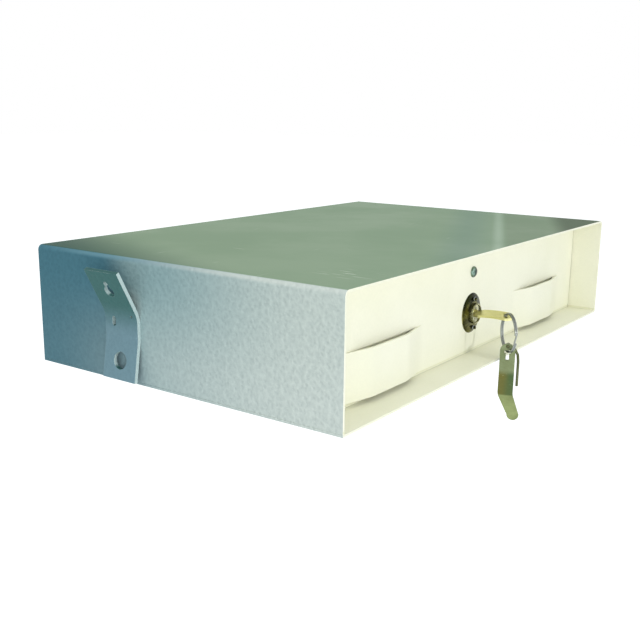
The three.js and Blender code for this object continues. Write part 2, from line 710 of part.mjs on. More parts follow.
// The round rose is dished: thin at its edge and crowned towards the barrel
function lockRose() {
  const crown = DRAWER_Y - ROSE_CROWN;
  const rose = turnedY([
    [BARREL_HOLE, DRAWER_Y],
    [BARREL_HOLE, crown],
    [BARREL_HOLE + 1.6, crown + 0.1],
    [ROSE_RADIUS * 0.8, DRAWER_Y - ROSE_CROWN * 0.72],
    [ROSE_RADIUS - 0.5, DRAWER_Y - ROSE_EDGE],
    [ROSE_RADIUS, DRAWER_Y - ROSE_EDGE / 2],
    [ROSE_RADIUS, DRAWER_Y],
    [BARREL_HOLE, DRAWER_Y],
  ], 0, LOCK_Z);
  const frontY = DRAWER_Y - ROSE_CROWN - OVERRUN;
  const [upper, lower] = [LOCK_Z + ROSE_RIVET_OFFSET, LOCK_Z - ROSE_RIVET_OFFSET];
  return cut(
    rose,
    barY(ROSE_RIVET_RADIUS + FIT, 0, upper, frontY, TRAY_Y, COARSE),
    barY(ROSE_RIVET_RADIUS + FIT, 0, lower, frontY, TRAY_Y, COARSE),
  );
}

function roseRivet(side) {
  const seat = DRAWER_Y - ROSE_CROWN;
  return turnedY([
    [0, seat - 0.9],
    [ROSE_RIVET_HEAD_RADIUS * 0.7, seat - 0.7],
    [ROSE_RIVET_HEAD_RADIUS, seat - FIT],
    [ROSE_RIVET_RADIUS, seat - FIT],
    [ROSE_RIVET_RADIUS, COVER_Y - FIT],
    [0, COVER_Y - FIT],
  ], 0, LOCK_Z + side * ROSE_RIVET_OFFSET, COARSE);
}

// The lock's fixing screw has a plain dome outside and ends in the cover's tapped hole
function lockScrew() {
  return turnedY([
    [0, DRAWER_Y - SCREW_HEAD],
    [SCREW_HEAD_RADIUS * 0.45, DRAWER_Y - SCREW_HEAD * 0.9],
    [SCREW_HEAD_RADIUS * 0.8, DRAWER_Y - SCREW_HEAD * 0.6],
    [SCREW_HEAD_RADIUS, DRAWER_Y - SCREW_HEAD * 0.12],
    [SCREW_HEAD_RADIUS, DRAWER_Y],
    [SCREW_RADIUS, DRAWER_Y],
    [SCREW_RADIUS, LOCK_CASE_Y - FIT],
    [0, LOCK_CASE_Y - FIT],
  ], 0, SCREW_Z, MEDIUM);
}

// Offset of the crank pin from the lock's axis at rest: it stands to the left, half its turn below level
function crankPlace() {
  return [-CRANK_RADIUS * Math.cos(CRANK_TURN / 2), -CRANK_RADIUS * Math.sin(CRANK_TURN / 2)];
}

// The bolt: a block that rises behind the strike, on a tail plate with a level yoke slot for the crank pin
function lockBolt() {
  const headHalf = BOLT_HEAD_WIDTH / 2;
  const tailHalf = BOLT_TAIL_WIDTH / 2;
  const top = LOCK_TOP + BOLT_REST_RISE;
  const headFoot = top - BOLT_HEAD_LENGTH;
  const head = alongX(outline([
    [BOLT_HEAD_Y, headFoot],
    [BOLT_REAR_Y, headFoot],
    [BOLT_REAR_Y, top - BOLT_LEAD],
    [BOLT_REAR_Y - BOLT_LEAD, top],
    [BOLT_HEAD_Y, top],
  ]), -headHalf, headHalf);
  const tailFoot = LOCK_Z - BOLT_TAIL_DROP;
  const tail = block(-tailHalf, tailHalf, BOLT_TAIL_Y, BOLT_REAR_Y, tailFoot, headFoot + BOLT_LAP);
  const [pinX, pinZ] = crankPlace();
  const play = CRANK_PIN_RADIUS + YOKE_PLAY;
  const slot = block(
    -CRANK_RADIUS - play,
    pinX + play,
    BOLT_TAIL_Y - OVERRUN,
    BOLT_REAR_Y + OVERRUN,
    LOCK_Z + pinZ - play,
    LOCK_Z + pinZ + play,
  );
  return cut(join(head, tail), slot);
}

// Turns a piece about the lock's axis, from level to the tilt at which the key goes in
function tilted(geometry) {
  return geometry.translate(0, 0, -LOCK_Z).rotateY(-KEY_TILT).translate(0, 0, LOCK_Z);
}

function waferY(number) {
  return ROTOR_FRONT_Y + WAFER_PITCH * number;
}

// The rotor turns in the barrel. A slot takes the blade, cross slots take the wafers, and its crank pin
// drives the bolt
function lockRotor() {
  const [pinX, pinZ] = crankPlace();
  const body = barY(ROTOR_RADIUS, 0, LOCK_Z, ROTOR_FRONT_Y, ROTOR_REAR_Y, FINE);
  const pinRoot = ROTOR_REAR_Y - ROTOR_END_WALL / 2;
  const pin = barY(CRANK_PIN_RADIUS, pinX, LOCK_Z + pinZ, pinRoot, BOLT_REAR_Y - FIT, COARSE);
  const half = BLADE_WIDTH / 2 + FIT;
  const rise = KEY_SHEET / 2 + FIT;
  const keywayEnd = ROTOR_REAR_Y - ROTOR_END_WALL;
  const keyway = block(-half, half, ROTOR_FRONT_Y - OVERRUN, keywayEnd, LOCK_Z - rise, LOCK_Z + rise);
  const slots = [];
  for (let number = 1; number <= WAFER_COUNT; number += 1) {
    const [y, deep, tall] = [waferY(number), WAFER_SHEET / 2 + FIT, WAFER_HEIGHT / 2 + FIT];
    slots.push(block(-ROTOR_RADIUS, ROTOR_RADIUS, y - deep, y + deep, LOCK_Z - tall, LOCK_Z + tall));
  }
  return cut(join(body, pin), ...[keyway, ...slots].map(tilted));
}

// A wafer is a thin frame round the blade
function lockWafer(number) {
  const [half, deep, tall] = [WAFER_WIDTH / 2, WAFER_SHEET / 2, WAFER_HEIGHT / 2];
  const y = waferY(number);
  const reach = BLADE_WIDTH / 2 + FIT;
  const rise = KEY_SHEET / 2 + FIT;
  const plate = block(-half, half, y - deep, y + deep, LOCK_Z - tall, LOCK_Z + tall);
  const hole = block(-reach, reach, y - WAFER_SHEET, y + WAFER_SHEET, LOCK_Z - rise, LOCK_Z + rise);
  return tilted(cut(plate, hole));
}

// Height of the bow's middle line above the lock's axis, on a parabola from the shoulder to the tip
function bowRise(y) {
  const share = (SHOULDER_Y - y) / (SHOULDER_Y - BOW_TIP_Y);
  return 2 * share * (1 - share) * BOW_ARCH + share * share * BOW_TIP_RISE;
}

function bowProfile() {
  const steps = 8;
  const above = [];
  const below = [];
  for (let step = 0; step <= steps; step += 1) {
    const y = SHOULDER_Y + ((BOW_TIP_Y - SHOULDER_Y) * step) / steps;
    const z = LOCK_Z + bowRise(y);
    above.push([y, z + KEY_SHEET / 2]);
    below.push([y, z - KEY_SHEET / 2]);
  }
  return outline([...above, ...below.reverse()]);
}

function bowPlan() {
  const half = BOW_WIDTH / 2;
  const neck = BLADE_WIDTH / 2;
  const plan = new THREE.Shape();
  plan.moveTo(neck, SHOULDER_Y + OVERRUN);
  plan.lineTo(-neck, SHOULDER_Y + OVERRUN);
  plan.lineTo(-half, SHOULDER_Y - half / 2);
  plan.lineTo(-half, BOW_TIP_Y + half);
  plan.absarc(0, BOW_TIP_Y + half, half, Math.PI, 2 * Math.PI, false);
  plan.lineTo(half, SHOULDER_Y - half / 2);
  return plan;
}

// Two square cuts for each wafer, one in each edge of the blade
function keyCuts() {
  const cuts = [];
  for (let number = 1; number <= WAFER_COUNT; number += 1) {
    const [y0, y1] = [waferY(number) - WAFER_SHEET, waferY(number) + WAFER_SHEET];
    const edge = BLADE_WIDTH / 2;
    const foot = edge - KEY_CUT_DEPTHS[number - 1];
    cuts.push(block(foot, edge + OVERRUN, y0, y1, LOCK_Z - KEY_SHEET, LOCK_Z + KEY_SHEET));
    cuts.push(block(-edge - OVERRUN, -foot, y0, y1, LOCK_Z - KEY_SHEET, LOCK_Z + KEY_SHEET));
  }
  return cuts;
}

// The key in the lock: an arched strip as its bow and a flat blade with a cut for each wafer
function key() {
  const [low, high] = [LOCK_Z - BOW_WIDTH, LOCK_Z + BOW_WIDTH];
  const bow = overlap(alongX(bowProfile(), -BOW_WIDTH, BOW_WIDTH), alongZ(bowPlan(), low, high, 8));
  const half = BLADE_WIDTH / 2;
  const blade = alongZ(outline([
    [-half, SHOULDER_Y - BLADE_TAPER],
    [half, SHOULDER_Y - BLADE_TAPER],
    [half, BLADE_END_Y - BLADE_TAPER],
    [half - BLADE_TAPER, BLADE_END_Y],
    [-half + BLADE_TAPER, BLADE_END_Y],
    [-half, BLADE_END_Y - BLADE_TAPER],
  ]), LOCK_Z - KEY_SHEET / 2, LOCK_Z + KEY_SHEET / 2);
  const hole = barZ(RING_HOLE_RADIUS, 0, HOLE_Y, low, high, MEDIUM);
  return tilted(cut(join(bow, blade), hole, ...keyCuts()));
}

// Unit vector in the ring's plane, level, pointing from the ring's centre to the key's hole
function ringHeading() {
  return new THREE.Vector3(Math.cos(RING_HEADING), Math.sin(RING_HEADING), 0);
}

// The ring leans on the near lip of the bow's hole, so its centre hangs below and beside the hole
function ringCentre() {
  const lip = RING_SETOVER - Math.sqrt(RING_HOLE_RADIUS ** 2 - (RING_WIRE + RING_TURN_PITCH / 2) ** 2);
  const inner = RING_RADIUS - RING_WIRE;
  const rise = bowRise(HOLE_Y + 1) + KEY_SHEET / 2;
  const side = (RING_SETOVER - lip) * Math.cos(RING_HEADING);
  const bowTop = LOCK_Z + rise * Math.cos(KEY_TILT) - side * Math.sin(KEY_TILT);
  const holeX = -rise * Math.sin(KEY_TILT);
  const centre = new THREE.Vector3(holeX, HOLE_Y, bowTop + FIT - Math.sqrt(inner ** 2 - lip ** 2));
  return centre.addScaledVector(ringHeading(), -RING_SETOVER);
}

// A split ring of two turns, as one ring whose section is two wires side by side
function splitRing() {
  const side = RING_TURN_PITCH / 2;
  const section = [];
  for (let step = -3; step <= 3; step += 1) {
    const angle = (step * Math.PI) / 7.2;
    section.push([RING_RADIUS + RING_WIRE * Math.sin(angle), side + RING_WIRE * Math.cos(angle)]);
  }
  const back = section.map(([radius, along]) => [radius, -along]).reverse();
  const loop = [...section, ...back, section[0]];
  const ring = turnedY(loop, 0, 0, FINE);
  const centre = ringCentre();
  return ring.rotateZ(RING_HEADING).translate(centre.x, centre.y, centre.z);
}

// Places a spare key piece: its width runs along X, its height along Z and its thickness along Y
function hungOnRing(geometry) {
  const centre = ringCentre();
  const turn = SPARE_HEADING - Math.PI / 2;
  return geometry.rotateZ(turn).translate(centre.x, centre.y, centre.z - RING_RADIUS);
}

// One flat length of the spare key, turned about the level fold line at its upper end
function spareLength(pairs, foldZ, shift, angle) {
  const plate = alongY(outline(pairs), -KEY_SHEET / 2, KEY_SHEET / 2);
  return plate.translate(0, 0, -foldZ).rotateX(angle).translate(0, shift, foldZ);
}

function spareHead() {
  const half = BOW_WIDTH / 2;
  const crown = new THREE.Shape();
  crown.moveTo(-half, SPARE_FIRST_FOLD - SPARE_LAP);
  crown.lineTo(half, SPARE_FIRST_FOLD - SPARE_LAP);
  crown.lineTo(half, SPARE_CROWN - half);
  crown.absarc(0, SPARE_CROWN - half, half, 0, Math.PI, false);
  const slotTop = RING_WIRE + 2 * FIT;
  const head = alongY(crown, -KEY_SHEET / 2, KEY_SHEET / 2, 12);
  const slot = (width, top, length) => block(-width / 2, width / 2, -KEY_SHEET, KEY_SHEET, top - length, top);
  const mouth = slot(SPARE_SLOT_WIDTH, slotTop, SPARE_MOUTH_LENGTH);
  const stem = slot(SPARE_STEM_WIDTH, slotTop, SPARE_SLOT_LENGTH);
  const pivot = barY(SHANK_PIN_RADIUS + FIT, 0, SHANK_PIVOT_RISE, -KEY_SHEET, KEY_SHEET, COARSE);
  return cut(head, mouth, stem, pivot);
}

// Outline of the spare key's last length, which leans sideways and ends in a round tip
function spareTip() {
  const half = BOW_WIDTH / 2;
  const reach = SPARE_LENGTH + SPARE_SECOND_FOLD - SPARE_TIP_RADIUS;
  const tipX = reach * Math.sin(SPARE_KINK);
  const tipZ = SPARE_SECOND_FOLD - reach * Math.cos(SPARE_KINK);
  const pairs = [[half, SPARE_SECOND_FOLD + SPARE_LAP], [-half, SPARE_SECOND_FOLD + SPARE_LAP]];
  const steps = 8;
  for (let step = 0; step <= steps; step += 1) {
    const angle = Math.PI * (1 + step / steps);
    pairs.push([tipX + SPARE_TIP_RADIUS * Math.cos(angle), tipZ + SPARE_TIP_RADIUS * Math.sin(angle)]);
  }
  return pairs;
}

// The spare key: a slotted head, a straight length and a kinked tip, with a light fold between them
function spareKey() {
  const half = BOW_WIDTH / 2;
  const middle = spareLength([
    [-half, SPARE_FIRST_FOLD + SPARE_LAP],
    [-half, SPARE_SECOND_FOLD - SPARE_LAP],
    [half, SPARE_SECOND_FOLD - SPARE_LAP],
    [half, SPARE_FIRST_FOLD + SPARE_LAP],
  ], SPARE_FIRST_FOLD, 0, -SPARE_FOLD_ANGLE);
  const drop = SPARE_SECOND_FOLD - SPARE_FIRST_FOLD;
  const shift = drop * Math.sin(-SPARE_FOLD_ANGLE);
  const end = spareLength(spareTip(), SPARE_SECOND_FOLD, -shift, SPARE_FOLD_ANGLE);
  return hungOnRing(join(spareHead(), middle, end));
}

// The spare key's round shank is folded down beside its bow, from an eye behind the head
function spareShank() {
  const back = KEY_SHEET / 2 + FIT;
  const level = back + SHANK_RADIUS;
  const eye = barY(SHANK_EYE_RADIUS, 0, SHANK_PIVOT_RISE, back, back + 2 * SHANK_RADIUS, COARSE);
  const route = new THREE.CatmullRomCurve3(SHANK_ROUTE.map(([x, z]) => new THREE.Vector3(x, level, z)));
  const ring = new THREE.Shape();
  ring.absarc(0, 0, SHANK_RADIUS, 0, 2 * Math.PI, false);
  const arm = new THREE.ExtrudeGeometry(ring, { steps: 24, curveSegments: 5, extrudePath: route });
  const pin = barY(SHANK_PIN_RADIUS + FIT, 0, SHANK_PIVOT_RISE, -KEY_SHEET, back + 3 * SHANK_RADIUS, COARSE);
  return hungOnRing(cut(join(eye, arm), pin));
}

function sparePivot() {
  const front = -KEY_SHEET / 2;
  const rear = KEY_SHEET / 2 + FIT + 2 * SHANK_RADIUS;
  const head = SHANK_PIN_RADIUS + 0.9;
  return hungOnRing(turnedY([
    [0, front - 0.9],
    [head, front - 0.7],
    [head, front - FIT],
    [SHANK_PIN_RADIUS, front - FIT],
    [SHANK_PIN_RADIUS, rear + FIT],
    [head, rear + FIT],
    [head, rear + 0.8],
    [0, rear + 0.8],
  ], 0, SHANK_PIVOT_RISE, COARSE));
}

const PAINT_SAGE = 0x8fa88f;
const PAINT_CREAM = 0xf2eed9;
const PAINT_GREY = 0x86a5b0;
const STEEL = 0x9aa0a2;
const ZINC = 0xb9bcb8;
const BRASS = 0xc9b76a;
const DARK_BRASS = 0x5d5a35;
const NYLON = 0xe9e7df;

add('case_sleeve', caseSleeve(), PAINT_SAGE, 0.4, 0);
add('case_floor', caseFloor(), PAINT_CREAM, 0.5, 0);
add('case_rear_panel', rearPanel(), PAINT_GREY, 0.5, 0);
add('strike_plate', strikePlate(), ZINC, 0.45, 0.9);
addPair('mounting_strap', mountingStrap(), PAINT_GREY, 0.45, 0);
addPair('case_rail', caseRail(), ZINC, 0.4, 0.9);
addPair('case_wheel', runnerWheel(caseWheelPlace()), NYLON, 0.5, 0);
addPair('case_axle', caseAxle(), ZINC, 0.4, 0.9);
addPair('drawer_rail', drawerRail(), ZINC, 0.4, 0.9);
addPair('drawer_wheel', runnerWheel(drawerWheelPlace()), NYLON, 0.5, 0);
addPair('drawer_axle', drawerAxle(), ZINC, 0.4, 0.9);
add('drawer_front', drawerFront(), PAINT_CREAM, 0.5, 0);
add('drawer_tray', drawerTray(), PAINT_CREAM, 0.5, 0);
add('tray_front_wall', trayFrontWall(), PAINT_CREAM, 0.5, 0);
add('tray_rear_wall', trayWall(TRAY_REAR_Y - TRAY_SHEET, TRAY_REAR_Y), PAINT_CREAM, 0.5, 0);
add('lock_cover', lockCover(), ZINC, 0.4, 0.9);
add('lock_case', lockCase(), ZINC, 0.4, 0.9);
add('lock_barrel', lockBarrel(), DARK_BRASS, 0.3, 1);
add('lock_rose', lockRose(), DARK_BRASS, 0.25, 1);
add('rose_rivet_upper', roseRivet(1), ZINC, 0.3, 1);
add('rose_rivet_lower', roseRivet(-1), ZINC, 0.3, 1);
add('lock_screw', lockScrew(), STEEL, 0.3, 1);
add('lock_bolt', lockBolt(), BRASS, 0.4, 1);
add('lock_rotor', lockRotor(), DARK_BRASS, 0.3, 1);
for (let number = 1; number <= WAFER_COUNT; number += 1) {
  add(`lock_wafer_${number}`, lockWafer(number), BRASS, 0.4, 1);
}
add('key', key(), BRASS, 0.35, 1);
add('split_ring', splitRing(), STEEL, 0.25, 1);
add('spare_key', spareKey(), STEEL, 0.4, 1);
add('spare_key_shank', spareShank(), STEEL, 0.35, 1);
add('spare_key_pivot', sparePivot(), STEEL, 0.35, 1);

export default safe;
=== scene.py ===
"""Looks of an under desk drawer safe: its sheet metal, lock and keys, modelled round the frame."""

import json
import logging
import math
from collections.abc import Callable, Iterator, Sequence
from contextlib import contextmanager
from dataclasses import dataclass
from enum import Enum

import bpy
from mathutils import Matrix, Vector


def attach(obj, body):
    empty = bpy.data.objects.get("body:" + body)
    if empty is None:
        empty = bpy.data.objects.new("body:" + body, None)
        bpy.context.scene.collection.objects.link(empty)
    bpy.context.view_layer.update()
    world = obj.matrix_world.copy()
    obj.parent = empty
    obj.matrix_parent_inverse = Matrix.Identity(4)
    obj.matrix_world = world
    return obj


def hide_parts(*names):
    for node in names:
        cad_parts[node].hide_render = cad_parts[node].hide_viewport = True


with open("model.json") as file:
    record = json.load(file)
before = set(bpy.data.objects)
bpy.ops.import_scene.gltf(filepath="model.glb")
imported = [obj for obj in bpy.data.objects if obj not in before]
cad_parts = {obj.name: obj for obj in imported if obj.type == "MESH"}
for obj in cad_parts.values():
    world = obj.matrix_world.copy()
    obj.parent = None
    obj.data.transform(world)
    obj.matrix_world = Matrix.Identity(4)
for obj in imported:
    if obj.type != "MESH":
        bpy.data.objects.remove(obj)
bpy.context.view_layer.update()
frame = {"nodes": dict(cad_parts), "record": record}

log = logging.getLogger("drawer_safe")

Colour = tuple[float, float, float]
Point = tuple[float, float, float]
Pair = tuple[float, float]
Piece = bpy.types.Object
NodeTree = bpy.types.NodeTree
Socket = bpy.types.NodeSocket
Sockets = bpy.types.NodeOutputs

MM = 0.001
TURN = 2 * math.pi
QUARTER = [math.pi / 2 * step / 16 for step in range(17)]
SMOOTH_ANGLE = math.radians(32)
FLAT_ANGLE = math.radians(0.4)
MERGE = 1e-6

# Places and sizes that several pieces share, in millimetres
FRONT_Y = -125
FRONT_REAR_Y = -123
TRAY_WALL_Y = -121.5
LOCK_Z = -62
LOCK_AXIS = (0, 0, LOCK_Z)
LOCK_BORE = 9.3
SCREW_AXIS = (0, 0, -25)
RIVET_AXES = {"upper": (0, 0, LOCK_Z + 13), "lower": (0, 0, LOCK_Z - 13)}
RIVET_BORE = 1.3
ROTOR_FRONT = -130
WAFER_PITCH = 5.5
KEY_TILT = -math.pi / 15
RING_CENTRE = Vector((-8.6887, -165.6317, -72.4782))
RING_RADIUS = 16.5
CUTTER_REACH = 10


def srgb(red: int, green: int, blue: int) -> Colour:
    """Turns an 8-bit sRGB colour into a linear one.

    Args:
        red: Red, 0 to 255.
        green: Green, 0 to 255.
        blue: Blue, 0 to 255.

    Returns:
        The linear colour.
    """

    def linear(value: int) -> float:
        """Returns one channel as a linear value."""
        share = value / 255
        return share / 12.92 if share <= 0.04045 else ((share + 0.055) / 1.055) ** 2.4

    return linear(red), linear(green), linear(blue)


# Helpers for operators


def deselect() -> None:
    """Deselects every object, in object mode."""
    if bpy.context.object and bpy.context.object.mode != "OBJECT":
        bpy.ops.object.mode_set(mode="OBJECT")
    bpy.ops.object.select_all(action="DESELECT")


def activate(piece: Piece) -> None:
    """Makes one object the only selected and active one."""
    deselect()
    piece.select_set(True)
    bpy.context.view_layer.objects.active = piece


@contextmanager
def editing(piece: Piece) -> Iterator[None]:
    """Opens an object in edit mode with all of it selected."""
    activate(piece)
    bpy.ops.object.mode_set(mode="EDIT")
    bpy.ops.mesh.select_all(action="SELECT")
    yield
    bpy.ops.object.mode_set(mode="OBJECT")


def settled(piece: Piece) -> Piece:
    """Puts an object's place, turn and scale in its mesh, and returns it."""
    activate(piece)
    bpy.ops.object.transform_apply(location=True, rotation=True, scale=True)
    return piece


def moved(piece: Piece, matrix: Matrix) -> Piece:
    """Moves an object's mesh by a matrix, and returns the object."""
    piece.matrix_world = matrix
    return settled(piece)


def apply_modifiers(piece: Piece) -> None:
    """Applies all of an object's modifiers in order."""
    activate(piece)
    for modifier in list(piece.modifiers):
        bpy.ops.object.modifier_apply(modifier=modifier.name)


def outward(piece: Piece) -> Piece:
    """Merges doubled vertices, turns the faces outwards and returns the object."""
    with editing(piece):
        bpy.ops.mesh.remove_doubles(threshold=MERGE)
        bpy.ops.mesh.normals_make_consistent(inside=False)
    return piece


def chain(points: Sequence[Point], face: bool = False) -> Piece:
    """Draws a line of vertices from point to point.

    Args:
        points: The points, in millimetres.
        face: True to close the line and fill it.

    Returns:
        The new object.
    """
    route = [Vector(point) * MM for point in points]
    deselect()
    bpy.ops.mesh.primitive_plane_add(size=MM, location=route[0])
    piece = bpy.context.object
    with editing(piece):
        bpy.ops.mesh.merge(type="CENTER")
        for start, end in zip(route, route[1:]):
            bpy.ops.mesh.extrude_region_move(TRANSFORM_OT_translate={"value": end - start})
        if face:
            bpy.ops.mesh.select_all(action="SELECT")
            bpy.ops.mesh.edge_face_add()
    return settled(piece)


def extruded(piece: Piece, reach: Point) -> Piece:
    """Extrudes a line or a face.

    Args:
        piece: The object.
        reach: How far it goes along each axis, in millimetres.

    Returns:
        The same object.
    """
    with editing(piece):
        bpy.ops.mesh.extrude_region_move(TRANSFORM_OT_translate={"value": Vector(reach) * MM})
    return outward(piece)


def thickened(piece: Piece, thickness: float) -> Piece:
    """Gives a surface half of a thickness, in millimetres, to each side."""
    modifier = piece.modifiers.new("thickness", "SOLIDIFY")
    modifier.thickness = thickness * MM
    modifier.offset = 0
    modifier.use_even_offset = True
    apply_modifiers(piece)
    return outward(piece)


def block(low: Point, high: Point) -> Piece:
    """Adds a box between two corners, in millimetres."""
    deselect()
    middle = (Vector(low) + Vector(high)) / 2 * MM
    size = (Vector(high) - Vector(low)) * MM
    bpy.ops.mesh.primitive_cube_add(size=1, location=middle, scale=size)
    return settled(bpy.context.object)


class Axis(Enum):
    """The axes that turned pieces and bars lie along."""

    X = (1, 0, 0)
    Y = (0, 1, 0)

    def point(self, centre: Point, radius: float, along: float) -> Point:
        """Returns the point at a radius beside the axis through a centre."""
        if self is Axis.X:
            return along, centre[1], centre[2] + radius
        return centre[0] + radius, along, centre[2]


def spun(pairs: Sequence[Pair], centre: Point, axis: Axis, steps: int = 96) -> Piece:
    """Turns a profile about an axis.

    Args:
        pairs: Radius and place along the axis of each point, in millimetres.
        centre: A point on the axis.
        axis: The axis.
        steps: Faces round the piece.

    Returns:
        The new object.
    """
    piece = chain([axis.point(centre, radius, along) for radius, along in pairs])
    with editing(piece):
        bpy.ops.mesh.spin(steps=steps, angle=TURN, center=Vector(centre) * MM, axis=axis.value)
    return outward(piece)


def bar(radius: float, centre: Point, axis: Axis, low: float, high: float) -> Piece:
    """Adds a round bar of a radius from one place on its axis to another, in millimetres."""
    return spun([(0, low), (radius, low), (radius, high), (0, high)], centre, axis, 64)


class Join(Enum):
    """Ways to join two closed pieces."""

    UNION = "UNION"
    CUT = "DIFFERENCE"
    OVERLAP = "INTERSECT"


def joined(piece: Piece, tool: Piece, way: Join) -> Piece:
    """Joins a piece with a second one, which is used up.

    Args:
        piece: The object that stays.
        tool: The second object.
        way: How they are joined.

    Returns:
        The first object.
    """
    modifier = piece.modifiers.new("joint", "BOOLEAN")
    modifier.object = tool
    modifier.operation = way.value
    modifier.solver = "EXACT"
    apply_modifiers(piece)
    bpy.data.objects.remove(tool, do_unlink=True)
    return piece


def cut(piece: Piece, *tools: Piece) -> Piece:
    """Cuts tools out of a piece, and returns it."""
    for tool in tools:
        joined(piece, tool, Join.CUT)
    return piece


def finished(piece: Piece, edge: float, segments: int = 2) -> Piece:
    """Rounds an object's sharp edges and shades it.

    Args:
        piece: The object.
        edge: The edges' radius in millimetres.
        segments: Faces across an edge.

    Returns:
        The same object.
    """
    modifier = piece.modifiers.new("edges", "BEVEL")
    modifier.width = edge * MM
    modifier.segments = segments
    modifier.limit_method = "ANGLE"
    modifier.angle_limit = SMOOTH_ANGLE
    modifier.use_clamp_overlap = True
    apply_modifiers(piece)
    activate(piece)
    bpy.ops.object.shade_smooth_by_angle(angle=SMOOTH_ANGLE)
    weights = piece.modifiers.new("flat faces", "WEIGHTED_NORMAL")
    weights.keep_sharp = True
    apply_modifiers(piece)
    return piece


def placed(piece: Piece, node: str, *finishes: "Finish") -> Piece:
    """Coats a finished piece and lets it stand for a CAD node, with its name, body and slot.

    Args:
        piece: The object, in place.
        node: The node's name.
        *finishes: Its finishes, one for each material slot.

    Returns:
        The same object.
    """
    piece.data.materials.clear()
    for finish in finishes:
        piece.data.materials.append(finish.material())
    piece.name = f"{node}_finished"
    piece.data.name = piece.name
    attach(piece, body_of(node))
    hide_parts(node)
    log.info("%s: %d faces", piece.name, len(piece.data.polygons))
    return piece


def body_of(node: str) -> str:
    """Returns the name of the body that a CAD node rides on."""
    for body, members in frame["record"]["behaviour"]["bodies"].items():
        if node in members:
            return body
    raise KeyError(node)


def refined(node: str, edge: float, finish: "Finish") -> None:
    """Makes a finer copy of a CAD node: merged, with flat faces joined and edges rounded.

    Args:
        node: The CAD node's name, which the copy stands for.
        edge: The edges' radius in millimetres.
        finish: Its finish.
    """
    deselect()
    mesh = frame["nodes"][node].data.copy()
    mesh.materials.clear()
    piece = bpy.data.objects.new(node, mesh)
    bpy.context.collection.objects.link(piece)
    with editing(piece):
        bpy.ops.mesh.remove_doubles(threshold=MERGE)
        bpy.ops.mesh.dissolve_limited(angle_limit=FLAT_ANGLE)
    placed(finished(piece, edge), node, finish)


def rounded(corners: Sequence[Pair], radius: float, steps: int = 12) -> list[Pair]:
    """Rounds the inner corners of a line.

    Args:
        corners: The line's corners, in millimetres.
        radius: The bends' radius.
        steps: Parts of each bend.

    Returns:
        The points of the rounded line.
    """
    route = [Vector(corner) for corner in corners]
    points = [route[0]]
    for before, corner, after in zip(route, route[1:], route[2:]):
        back = (before - corner).normalized()
        on = (after - corner).normalized()
        half = back.angle(on) / 2
        start = corner + back * radius / math.tan(half)
        centre = corner + (back + on).normalized() * radius / math.sin(half)
        arm = start - centre
        turn = math.pi - 2 * half
        if arm.x * (corner - centre).y - arm.y * (corner - centre).x < 0:
            turn = -turn
        for step in range(steps + 1):
            points.append(centre + Matrix.Rotation(turn * step / steps, 2) @ arm)
    points.append(route[-1])
    return [(point.x, point.y) for point in points]


def arc(centre: Pair, radius: float, start: float, end: float, steps: int = 24) -> list[Pair]:
    """Returns points on an arc, from one angle to another in degrees."""
    angles = (math.radians(start + (end - start) * step / steps) for step in range(steps + 1))
    return [
        (centre[0] + radius * math.cos(angle), centre[1] + radius * math.sin(angle))
        for angle in angles
    ]


def dome(radius: float, seat: float, height: float) -> list[Pair]:
    """Returns the radii and places of a dome, from its top to its seat on the axis."""
    return [(radius * math.sin(angle), seat + height * math.cos(angle)) for angle in QUARTER]


def folded(corners: Sequence[Pair], bend: float, sheet: float, low: float, high: float) -> Piece:
    """Makes a folded sheet that runs along Y.

    Args:
        corners: X and Z of the corners of the sheet's middle line.
        bend: The bends' middle radius.
        sheet: The sheet's thickness.
        low: The Y that it starts at.
        high: The Y that it ends at.

    Returns:
        The new object.
    """
    line = chain([(x, low, z) for x, z in rounded(corners, bend)])
    return thickened(extruded(line, (0, high - low, 0)), sheet)


# Shader helpers


